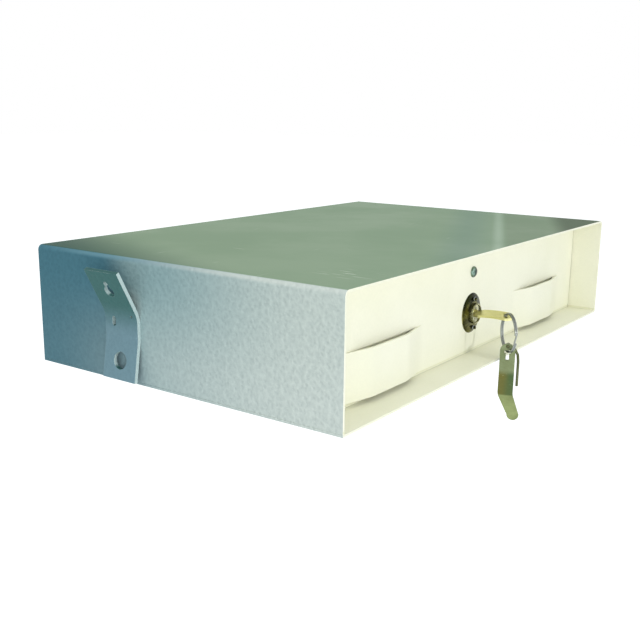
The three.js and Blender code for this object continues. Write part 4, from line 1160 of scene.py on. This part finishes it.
@dataclass
class MountingStrap:
    """A bent strap with a keyhole, a slot, a pilot hole and a round hole."""

    side: int = 1
    seat_x: float = 246.5
    front: float = 35
    width: float = 36
    sheet: float = 3
    bend: float = 24
    foot: Pair = (251.5, -97)
    seat: Pair = (-64, -45)
    top: Pair = (266, -8)
    hole: Pair = (7, -81.5)
    keyhole: Pair = (4.8, 2.2)
    keyhole_z: float = -24.5
    keyhole_rise: float = 7
    slot: Pair = (3.8, 8)
    slot_offset: float = 8
    slot_drop: float = 6
    pilot: Pair = (1, 5.5)
    cutter: Pair = (240, 262)

    def mirrored(self, x: float, y: float, z: float) -> Point:
        """Returns a point of the right strap on this strap's side."""
        return self.side * x, y, z

    def round_hole(self, radius: float, y: float, z: float) -> Piece:
        """Returns a bar that cuts a round hole through the seat or the foot."""
        return bar(radius, (0, y, z), Axis.X, *sorted(self.side * end for end in self.cutter))

    def slot_tool(self) -> Piece:
        """Returns the block with round ends that cuts the upright slot."""
        half = self.slot[0] / 2
        reach = self.slot[1] / 2 - half
        y = self.front + self.width / 2 + self.slot_offset
        z = self.seat[1] - self.slot_drop
        line = arc((y, z + reach), half, 0, 180) + arc((y, z - reach), half, 180, 360)
        near, far = self.cutter
        face = chain([self.mirrored(near, a, b) for a, b in line], face=True)
        return extruded(face, self.mirrored(far - near, 0, 0))

    def keyhole_tool(self) -> Piece:
        """Returns the keyhole's cutter, which stands square on the leaning flange."""
        big, small = self.keyhole
        lean = math.atan2(self.top[0] - self.seat_x, self.top[1] - self.seat[1])
        middle_x = self.seat_x + math.tan(lean) * (self.keyhole_z - self.seat[1])
        mouth = math.degrees(math.asin(small / big))
        line = arc((0, 0), big, 90 + mouth, 450 - mouth, 48)
        line += arc((0, self.keyhole_rise), small, 0, 180)
        reach = 3 * self.sheet
        sine, cosine = math.sin(lean), math.cos(lean)
        y = self.front + self.width / 2
        points = [
            self.mirrored(
                middle_x + b * sine - reach * cosine,
                y + a,
                self.keyhole_z + b * cosine + reach * sine,
            )
            for a, b in line
        ]
        through = self.mirrored(2 * reach * cosine, 0, -2 * reach * sine)
        return extruded(chain(points, face=True), through)

    def build(self) -> None:
        """Bends the strap, cuts its holes and rounds its edges."""
        low, high = self.seat
        corners = [self.foot, (self.seat_x, low), (self.seat_x, high), self.top]
        corners = [(self.side * x, z) for x, z in corners]
        strap = folded(corners, self.bend, self.sheet, self.front, self.front + self.width)
        middle = self.front + self.width / 2
        cut(
            strap,
            self.round_hole(self.hole[0], middle, self.hole[1]),
            self.round_hole(self.pilot[0], self.front + self.pilot[1], high),
            self.slot_tool(),
            self.keyhole_tool(),
        )
        word = "right" if self.side > 0 else "left"
        placed(finished(strap, 0.3), f"{word}_mounting_strap", STRAP_PAINT)


@dataclass
class Drawer:
    """The drawer's front with its two pressed finger pulls, and the tray behind it."""

    half: float = 242
    sheet: float = 2
    top: float = -3.5
    foot: float = -95
    lip: float = 2.8
    lip_back: float = 0.6
    rise: float = 0.7
    slit: float = -56.5
    root: float = 0.5
    proud: float = 7
    inner: float = 90
    outer: float = 203
    ramp: float = 31
    bend: float = 45
    tray_half: float = 229.75
    tray_sheet: float = 1.5
    tray_bend: float = 2.25
    tray_rear: float = 123.5
    tray_top: float = -20
    tray_foot: float = -93.25
    screw_bore: float = 2.8

    def pull_line(self) -> list[Pair]:
        """Returns the X and Y of the lower sheet's middle line, seen from above."""
        back = FRONT_Y + self.sheet / 2
        ahead = back - self.proud
        pull = [
            (self.inner, back),
            (self.inner + self.ramp, ahead),
            (self.outer - self.ramp, ahead),
            (self.outer, back),
        ]
        left = [(-x, y) for x, y in reversed(pull)]
        return [(-self.half, back), *left, *pull, (self.half, back)]

    def front_bars(self) -> list[Piece]:
        """Returns the bars that cut the lock's holes in the front."""
        holes = [(LOCK_BORE, LOCK_AXIS), (self.screw_bore, SCREW_AXIS)]
        holes += [(RIVET_BORE, axis) for axis in RIVET_AXES.values()]
        ends = (FRONT_Y - 5, FRONT_REAR_Y + 5)
        return [bar(radius, centre, Axis.Y, *ends) for radius, centre in holes]

    def build_front(self) -> None:
        """Makes the front: a plate above, and below it a sheet that bulges at both pulls."""
        line = chain([(x, y, self.foot) for x, y in rounded(self.pull_line(), self.bend, 20)])
        lower = thickened(extruded(line, (0, 0, self.slit - self.foot)), self.sheet)
        low = (-self.outer - 10, FRONT_Y - self.proud - 5, self.foot - 1)
        cut(lower, block(low, (self.outer + 10, FRONT_Y - 0.02, self.foot + self.rise)))
        low = (-self.half, FRONT_Y, self.slit - self.root)
        upper = block(low, (self.half, FRONT_REAR_Y, self.top))
        low = (-self.half, FRONT_Y + self.lip_back, self.foot - self.lip)
        lip = block(low, (self.half, FRONT_REAR_Y, self.foot + 1))
        front = joined(joined(upper, lower, Join.UNION), lip, Join.UNION)
        cut(front, *self.front_bars())
        placed(finished(front, 0.25), "drawer_front", FRONT_PAINT)

    def build_tray(self) -> None:
        """Folds the tray's floor and sides from one sheet."""
        corners = [(-self.tray_half, self.tray_top), (-self.tray_half, self.tray_foot)]
        corners += [(-x, z) for x, z in reversed(corners)]
        tray = folded(corners, self.tray_bend, self.tray_sheet, TRAY_WALL_Y, self.tray_rear)
        placed(finished(tray, 0.3), "drawer_tray", FRONT_PAINT)

    def build(self) -> None:
        """Builds the drawer's sheets."""
        self.build_front()
        self.build_tray()
        refined("tray_front_wall", 0.25, FRONT_PAINT)
        refined("tray_rear_wall", 0.25, FRONT_PAINT)


@dataclass
class Runners:
    """The rails, the moulded wheels and their riveted axles."""

    wheel_x: float = 234
    radius: float = 8.7
    width: float = 6
    bore: float = 2.8
    hub: float = 4.1
    rim: float = 6.8
    crown: float = 30
    crown_angle: float = 4.2
    play: float = 0.3
    pin: float = 2.5
    head: float = 0.8
    case_head: float = 3.8
    drawer_head: float = 3.2
    case_seat: float = 242.7
    drawer_seat: float = 230.8
    case_wheel: Pair = (-108, -65.5)
    drawer_wheel: Pair = (112, -69.5)

    def wheel(self, side: int, name: str, place: Pair) -> None:
        """Turns one wheel with a crowned tread, a web and a hub, and lightens its web.

        Args:
            side: 1 for the right, -1 for the left.
            name: The wheel's node.
            place: Its Y and Z.
        """
        near, far = self.wheel_x, self.wheel_x + self.width
        bore, hub, rim, turn = self.bore, self.hub, self.rim, self.crown_angle
        centre = (self.radius - self.crown, (near + far) / 2)
        tread = arc(centre, self.crown, -turn, turn, 12)
        pairs = [(bore, near), (hub, near), (hub, near + 1), (rim, near + 1), (rim, near)]
        pairs += [(min(radius, self.radius), along) for radius, along in tread]
        pairs += [(rim, far), (rim, far - 1), (hub, far - 1), (hub, far), (bore, far), (bore, near)]
        pairs = [(radius, side * along) for radius, along in pairs]
        placed(finished(spun(pairs, (0, *place), Axis.X), 0.3), name, NYLON)

    def axle(self, side: int, name: str, place: Pair, pairs: Sequence[Pair]) -> None:
        """Turns one axle from its radii and places."""
        pairs = [(radius, side * along) for radius, along in pairs]
        placed(finished(spun(pairs, (0, *place), Axis.X, 64), 0.25), name, ZINC)

    def build(self) -> None:
        """Builds both sides' runners."""
        near, far = self.wheel_x - self.play, self.wheel_x + self.width + self.play
        low, high, pin = near - self.head, far + self.head, self.pin
        case_axle = [(0, low), (self.case_head, low), (self.case_head, near), (pin, near)]
        case_axle += [(pin, self.case_seat), (0, self.case_seat)]
        drawer_axle = [(0, self.drawer_seat), (pin, self.drawer_seat), (pin, far)]
        drawer_axle += [(self.drawer_head, far), (self.drawer_head, high), (0, high)]
        for side, word in ((1, "right"), (-1, "left")):
            self.wheel(side, f"{word}_case_wheel", self.case_wheel)
            self.wheel(side, f"{word}_drawer_wheel", self.drawer_wheel)
            self.axle(side, f"{word}_case_axle", self.case_wheel, case_axle)
            self.axle(side, f"{word}_drawer_axle", self.drawer_wheel, drawer_axle)
            refined(f"{word}_case_rail", 0.25, ZINC)
            refined(f"{word}_drawer_rail", 0.25, ZINC)


def tilted(piece: Piece) -> Piece:
    """Turns a piece about the lock's axis to the angle that the key goes in at."""
    pivot = Matrix.Translation(Vector(LOCK_AXIS) * MM)
    return moved(piece, pivot @ Matrix.Rotation(KEY_TILT, 4, "Y") @ pivot.inverted())


@dataclass
class Lock:
    """The rose with its rivets and screw, the barrel, the rotor and what lies behind them."""

    rose_radius: float = 17.5
    rose_crown: float = 2.6
    barrel_radius: float = 9
    barrel_front: float = -131
    rotor_radius: float = 7.5
    rotor_rear: float = -103.5
    blade: float = 10
    blade_sheet: float = 2.2
    crank: float = 3.889
    wafer_slot: Point = (9, 0.8, 3.1)

    def build_rose(self) -> None:
        """Turns the dished rose, and drills it for its rivets."""
        crown = FRONT_Y - self.rose_crown
        bore = LOCK_BORE
        dish = [(bore, crown), (bore + 1.6, crown + 0.1), (14, FRONT_Y - 1.87)]
        dish += [(self.rose_radius - 0.5, FRONT_Y - 1), (self.rose_radius, FRONT_Y - 0.5)]
        pairs = [(bore, FRONT_Y), (bore, crown), *rounded(dish, 6, 8)[1:]]
        pairs += [(self.rose_radius, FRONT_Y), (bore, FRONT_Y)]
        rose = spun(pairs, LOCK_AXIS, Axis.Y)
        for axis in RIVET_AXES.values():
            cut(rose, bar(RIVET_BORE, axis, Axis.Y, FRONT_Y - 5, FRONT_REAR_Y))
        placed(finished(rose, 0.2), "lock_rose", ROSE_BRASS)

    def build_barrel(self) -> None:
        """Turns the barrel, whose rim is rolled and whose flange seats behind the cover."""
        outer, bore, front = self.barrel_radius, 7.8, self.barrel_front
        rear = self.rotor_rear - 0.3
        pairs = [(bore, rear), (bore, front + 0.4), (bore + 0.4, front), (outer - 0.5, front)]
        pairs += [(outer, front + 0.5), (outer, -120), (12.5, -120), (12.5, -118), (outer, -118)]
        pairs += [(outer, rear), (bore, rear)]
        placed(finished(spun(pairs, LOCK_AXIS, Axis.Y), 0.2), "lock_barrel", BARREL_BRASS)

    def build_rotor(self) -> None:
        """Makes the rotor with its keyway, its wafer slots and its crank pin."""
        body = bar(self.rotor_radius, LOCK_AXIS, Axis.Y, ROTOR_FRONT, self.rotor_rear)
        pin = (-self.crank, 0, LOCK_Z - self.crank)
        joined(body, bar(1.5, pin, Axis.Y, self.rotor_rear - 0.75, -99.6), Join.UNION)
        half, rise = self.blade / 2 + 0.3, self.blade_sheet / 2 + 0.3
        low = (-half, ROTOR_FRONT - 1, LOCK_Z - rise)
        cut(body, tilted(block(low, (half, self.rotor_rear - 1.5, LOCK_Z + rise))))
        half, deep, rise = self.wafer_slot
        for number in range(1, 5):
            y = ROTOR_FRONT + WAFER_PITCH * number
            low = (-half, y - deep, LOCK_Z - rise)
            cut(body, tilted(block(low, (half, y + deep, LOCK_Z + rise))))
        placed(finished(body, 0.15), "lock_rotor", BARREL_BRASS)

    def build_rivets(self) -> None:
        """Turns the rose's two small domed rivets."""
        seat, rear = FRONT_Y - self.rose_crown - 0.3, -121.8
        pairs = [*dome(1.9, seat, -0.6), (1, seat), (1, rear), (0, rear)]
        for word, axis in RIVET_AXES.items():
            rivet = finished(spun(pairs, axis, Axis.Y, 48), 0.08)
            placed(rivet, f"rose_rivet_{word}", BRIGHT_STEEL)

    def build_screw(self) -> None:
        """Turns the screw with its plain dome."""
        head, shank, rear = 5, 2.5, -120.3
        pairs = [*dome(head, FRONT_Y - 0.36, -2.64), (head, FRONT_Y), (shank, FRONT_Y)]
        pairs += [(shank, rear), (0, rear)]
        placed(finished(spun(pairs, SCREW_AXIS, Axis.Y), 0.12), "lock_screw", SCREW_STEEL)

    def build(self) -> None:
        """Builds the lock."""
        self.build_rose()
        self.build_barrel()
        self.build_rotor()
        self.build_rivets()
        self.build_screw()
        refined("lock_bolt", 0.35, BOLT_BRASS)
        refined("lock_cover", 0.25, ZINC)
        refined("lock_case", 0.25, ZINC)
        for number in range(1, 5):
            refined(f"lock_wafer_{number}", 0.1, BOLT_BRASS)


@dataclass
class Key:
    """The key in the lock: an arched bow, a shoulder and a cut blade."""

    shoulder: float = -131.3
    tip: float = -165
    bow: float = 13
    blade: float = 10
    sheet: float = 2.2
    arch: float = 3
    tip_rise: float = 0.8
    end: float = -105.6
    hole: Pair = (3, -157.5)
    cuts: tuple[float, ...] = (1.1, 1.6, 0.6, 1.1)

    def rise(self, share: float) -> float:
        """Returns the bow's height above the axis at a share of its length."""
        return 2 * share * (1 - share) * self.arch + share * share * self.tip_rise

    def cutter(self, plan: Sequence[Pair]) -> Piece:
        """Returns an upright block through the key, with a plan of X and Y."""
        face = chain([(x, y, LOCK_Z - CUTTER_REACH) for x, y in plan], face=True)
        return extruded(face, (0, 0, 2 * CUTTER_REACH))

    def bow_piece(self) -> Piece:
        """Returns the arched bow, cut to its plan."""
        steps = 32
        reach = self.tip - self.shoulder
        line = [
            (-self.bow, self.shoulder + reach * n / steps, LOCK_Z + self.rise(n / steps))
            for n in range(steps + 1)
        ]
        strip = thickened(extruded(chain(line), (2 * self.bow, 0, 0)), self.sheet)
        half, neck = self.bow / 2, self.blade / 2
        plan = [(-neck, self.shoulder + 1), (-half, self.shoulder - half / 2)]
        plan += arc((0, self.tip + half), half, 180, 360, 32)
        plan += [(half, self.shoulder - half / 2), (neck, self.shoulder + 1)]
        return joined(strip, self.cutter(plan), Join.OVERLAP)

    def blade_piece(self) -> Piece:
        """Returns the blade with its cuts."""
        half, low = self.blade / 2, LOCK_Z - self.sheet / 2
        plan = [(-half, self.shoulder - 2), (half, self.shoulder - 2), (half, self.end - 2)]
        plan += [(half - 2, self.end), (2 - half, self.end), (-half, self.end - 2)]
        blade = extruded(chain([(x, y, low) for x, y in plan], face=True), (0, 0, self.sheet))
        for number, depth in enumerate(self.cuts, 1):
            y = ROTOR_FRONT + WAFER_PITCH * number
            for near, far in ((half - depth, half + 1), (-half - 1, depth - half)):
                cut(blade, block((near, y - 1, LOCK_Z - 3), (far, y + 1, LOCK_Z + 3)))
        return blade

    def build(self) -> None:
        """Joins bow and blade, drills the bow and tilts the key to its keyway."""
        key = joined(self.bow_piece(), self.blade_piece(), Join.UNION)
        radius, y = self.hole
        cut(key, self.cutter([(a, y + b) for a, b in arc((0, 0), radius, 0, 352.5, 47)]))
        placed(finished(tilted(key), 0.35, 3), "key", KEY_BRASS)


@dataclass
class SplitRing:
    """A split ring: one wire in two turns, which steps over at one place."""

    wire: float = 0.75
    lift: float = 0.7
    heading: float = math.pi / 4
    start: float = 200
    sweep: float = 694
    step_from: float = 325
    step_to: float = 358

    def point(self, angle: float) -> Point:
        """Returns the wire's middle at an angle along it, in degrees."""
        share = min(1, max(0, (angle - self.step_from) / (self.step_to - self.step_from)))
        level = self.lift * (2 * share * share * (3 - 2 * share) - 1)
        turn = math.radians(angle + self.start)
        across = Vector((math.cos(self.heading), math.sin(self.heading), 0))
        aside = Vector((-math.sin(self.heading), math.cos(self.heading), 0))
        spoke = across * math.cos(turn) + Vector((0, 0, math.sin(turn)))
        return tuple(RING_CENTRE + spoke * RING_RADIUS + aside * level)

    def build(self) -> None:
        """Draws the wire's line and gives it its round section."""
        steps = 190
        line = chain([self.point(self.sweep * step / steps) for step in range(steps + 1)])
        placed(wire(line, self.wire), "split_ring", BRIGHT_STEEL)


def wire(line: Piece, radius: float) -> Piece:
    """Gives a line a round section, and returns it as a mesh.

    Args:
        line: The line.
        radius: The section's radius in millimetres.

    Returns:
        The closed mesh.
    """
    activate(line)
    bpy.ops.object.convert(target="CURVE")
    curve = bpy.context.object
    curve.data.bevel_depth = radius * MM
    curve.data.bevel_resolution = 4
    curve.data.use_fill_caps = True
    bpy.ops.object.convert(target="MESH")
    return finished(outward(bpy.context.object), radius / 8, 1)


@dataclass
class SpareKey:
    """The spare key on the ring: a slotted head, two light folds, and a folded round shank."""

    half: float = 6.5
    crown: float = 7
    sheet: float = 2.2
    folds: Pair = (-21, -38)
    length: float = 63
    fold_angle: float = 0.14
    kink: float = 0.38
    tip_radius: float = 5.2
    slot_top: float = 1.35
    head_slot: Pair = (5.4, 3.2)
    long_slot: Pair = (2.8, 8.8)
    pivot_z: float = 4.7
    pivot_bore: float = 1.1
    shank: float = 1.2
    gap: float = 0.3
    heading: float = math.radians(-70)

    def hung(self, piece: Piece) -> Piece:
        """Moves a piece from its own place to the foot of the ring."""
        place = Matrix.Translation((RING_CENTRE - Vector((0, 0, RING_RADIUS))) * MM)
        return moved(piece, place @ Matrix.Rotation(self.heading, 4, "Z"))

    def side_line(self) -> list[Pair]:
        """Returns the Y and Z of the strip's middle line, with its two folds."""
        sine, cosine = math.sin(self.fold_angle), math.cos(self.fold_angle)
        first, second = self.folds
        middle = first - second
        y, z = -middle * sine, first - middle * cosine
        reach = self.length + second + 4
        return rounded([(0, 12), (0, first), (y, z), (y + reach * sine, z - reach * cosine)], 6, 6)

    def plan(self) -> list[Pair]:
        """Returns the X and Z of the strip's outline, with its round ends."""
        fold = self.folds[1]
        reach = self.length + fold - self.tip_radius
        tip = (reach * math.sin(self.kink), fold - reach * math.cos(self.kink))
        left, right = tip[0] - self.tip_radius, tip[0] + self.tip_radius
        line = arc((0, self.crown - self.half), self.half, 0, 180, 32)
        line += rounded([(-self.half, fold + 12), (-self.half, fold), (left, tip[1])], 14)
        line += arc(tip, self.tip_radius, 180, 360, 32)
        return line + rounded([(right, tip[1]), (self.half, fold), (self.half, fold + 12)], 14)

    def slot(self, width: float, length: float) -> Piece:
        """Returns a block that cuts an upright slot in the head."""
        low = (-width / 2, -4, self.slot_top - length)
        return block(low, (width / 2, 4, self.slot_top))

    def build_strip(self) -> None:
        """Folds the strip, cuts it to its plan and cuts the head's slot and rivet hole."""
        line = chain([(-20, y, z) for y, z in self.side_line()])
        strip = thickened(extruded(line, (40, 0, 0)), self.sheet)
        tool = extruded(chain([(x, -9, z) for x, z in self.plan()], face=True), (0, 18, 0))
        joined(strip, tool, Join.OVERLAP)
        pivot = bar(self.pivot_bore, (0, 0, self.pivot_z), Axis.Y, -4, 4)
        cut(strip, self.slot(*self.head_slot), self.slot(*self.long_slot), pivot)
        placed(finished(self.hung(strip), 0.35, 3), "spare_key", SPARE_STEEL)

    def build_shank(self) -> None:
        """Bends the round shank down from its eye behind the head."""
        back = self.sheet / 2 + self.gap
        level = back + self.shank
        route = [(0.8, self.pivot_z), (5.5, 2.6), (8.6, -3), (9.2, -9), (9.2, -31)]
        line = chain([(x, level, z) for x, z in rounded(route, 5, 8)])
        arm = wire(line, self.shank)
        far = back + 2 * self.shank
        eye = spun([(0, back), (2.2, back), (2.2, far), (0, far)], (0, 0, self.pivot_z), Axis.Y, 48)
        joined(arm, eye, Join.UNION)
        cut(arm, bar(self.pivot_bore, (0, 0, self.pivot_z), Axis.Y, -4, 9))
        placed(finished(self.hung(arm), 0.15), "spare_key_shank", SHANK_STEEL)

    def build_pivot(self) -> None:
        """Turns the rivet that the shank swings on."""
        head, pin = 1.7, 0.8
        front = -self.sheet / 2 - self.gap
        rear = self.sheet / 2 + self.gap + 2 * self.shank + self.gap
        pairs = [*dome(head, front, -0.6), (pin, front), (pin, rear), *dome(head, rear, 0.5)[::-1]]
        rivet = spun(pairs, (0, 0, self.pivot_z), Axis.Y, 48)
        placed(finished(self.hung(rivet), 0.06), "spare_key_pivot", SHANK_STEEL)

    def build(self) -> None:
        """Builds the strip, the shank and its rivet."""
        self.build_strip()
        self.build_shank()
        self.build_pivot()


# Stage, light and camera


@dataclass
class Studio:
    """A pale floor far below, a white world, soft lamps and the camera."""

    floor_z: float = -0.62
    floor_glow: float = 0.62
    world_strength: float = 0.6
    camera_place: Point = (-0.70997, -0.46767, 0.11198)
    azimuth: float = math.radians(-54.434)
    elevation: float = math.radians(13.210)
    roll: float = math.radians(0.7154)
    lens: float = 50.373

    def seen(self, tree: Tree) -> Socket:
        """Returns 1 for the camera's rays and for those that reflect or pass through."""
        rays = tree.node("ShaderNodeLightPath").outputs
        through = tree.larger(rays["Is Glossy Ray"], rays["Is Transmission Ray"])
        return tree.larger(rays["Is Camera Ray"], through)

    def build_world(self) -> None:
        """Lights evenly, and shows white to the camera and to reflections."""
        world = bpy.data.worlds.new("studio")
        bpy.context.scene.world = world
        world.use_nodes = True
        tree = Tree(world.node_tree)
        feeds = {"Color": srgb(240, 248, 250), "Strength": self.world_strength}
        light = tree.node("ShaderNodeBackground", feeds).outputs[0]
        white = tree.node("ShaderNodeBackground", {"Color": (1, 1, 1)}).outputs[0]
        both = tree.node("ShaderNodeMixShader", {0: self.seen(tree), 1: light, 2: white})
        tree.node("ShaderNodeOutputWorld", {"Surface": both.outputs[0]})

    def build_floor(self) -> None:
        """Adds the floor, which reads white to the camera outside a shadow."""
        deselect()
        bpy.ops.mesh.primitive_plane_add(size=40, location=(0, 0, self.floor_z))
        floor = bpy.context.object
        floor.name = "studio_floor"
        material = bpy.data.materials.new("studio floor")
        material.use_nodes = True
        tree = Tree(material.node_tree)
        matt = tree.node("ShaderNodeBsdfDiffuse", {"Color": (0.9, 0.9, 0.9)}).outputs[0]
        strength = tree.times(self.seen(tree), self.floor_glow)
        glow = tree.node("ShaderNodeEmission", {"Strength": strength}).outputs[0]
        both = tree.node("ShaderNodeAddShader", {0: matt, 1: glow})
        tree.node("ShaderNodeOutputMaterial", {"Surface": both.outputs[0]})
        floor.data.materials.append(material)

    def add_lamp(self, name: str, place: Point, aim: Point, size: Pair, power: float) -> None:
        """Adds a soft rectangular lamp.

        Args:
            name: Its name.
            place: Where it stands.
            aim: The point that it faces.
            size: Its two sides in metres.
            power: Its power in watts.
        """
        data = bpy.data.lights.new(name, "AREA")
        data.shape = "RECTANGLE"
        data.size, data.size_y = size
        data.energy = power
        data.color = (1, 0.99, 0.97)
        lamp = bpy.data.objects.new(name, data)
        bpy.context.collection.objects.link(lamp)
        lamp.location = place
        turn = (Vector(aim) - Vector(place)).to_track_quat("-Z", "Y")
        lamp.rotation_euler = turn.to_euler()

    def build_lamps(self) -> None:
        """Lights the front most, and adds a small lamp that casts the keys' shadows."""
        self.add_lamp("front lamp", (0.35, -2.0, 0.8), (0.0, -0.15, -0.05), (1.6, 1.2), 2)
        self.add_lamp("key lamp", (-0.4, -1.973, 0.407), (0.0, -0.125, -0.08), (0.05, 0.05), 9)
        self.add_lamp("top lamp", (-0.5, -0.2, 2.0), (0, 0, 0), (1.8, 1.8), 12)
        self.add_lamp("side lamp", (-1.35, -1.15, 0.05), (-0.245, -0.1, -0.05), (0.6, 0.6), 5.5)

    def build_camera(self) -> None:
        """Sets the camera where the photograph's lines put it."""
        data = bpy.data.cameras.new("camera")
        data.lens = self.lens
        data.sensor_width = 36
        data.clip_start = 0.01
        data.clip_end = 100
        camera = bpy.data.objects.new("camera", data)
        bpy.context.collection.objects.link(camera)
        back = Vector((
            math.sin(self.azimuth) * math.cos(self.elevation),
            -math.cos(self.azimuth) * math.cos(self.elevation),
            math.sin(self.elevation),
        ))
        right = Vector((math.cos(self.azimuth), math.sin(self.azimuth), 0))
        up = back.cross(right)
        cosine, sine = math.cos(self.roll), math.sin(self.roll)
        rolled_right = cosine * right + sine * up
        rolled_up = cosine * up - sine * right
        turn = Matrix((rolled_right, rolled_up, back)).transposed().to_4x4()
        camera.matrix_world = Matrix.Translation(self.camera_place) @ turn
        bpy.context.scene.camera = camera

    def build(self) -> None:
        """Builds all of the studio."""
        bpy.context.scene.view_settings.view_transform = "Standard"
        self.build_world()
        self.build_floor()
        self.build_lamps()
        self.build_camera()


def main() -> None:
    """Builds the pieces, then the studio round them."""
    logging.basicConfig(level=logging.INFO, format="%(message)s")
    Case().build()
    MountingStrap(side=1).build()
    MountingStrap(side=-1).build()
    Drawer().build()
    Runners().build()
    Lock().build()
    Key().build()
    SplitRing().build()
    SpareKey().build()
    Studio().build()


if __name__ == "__main__":
    main()
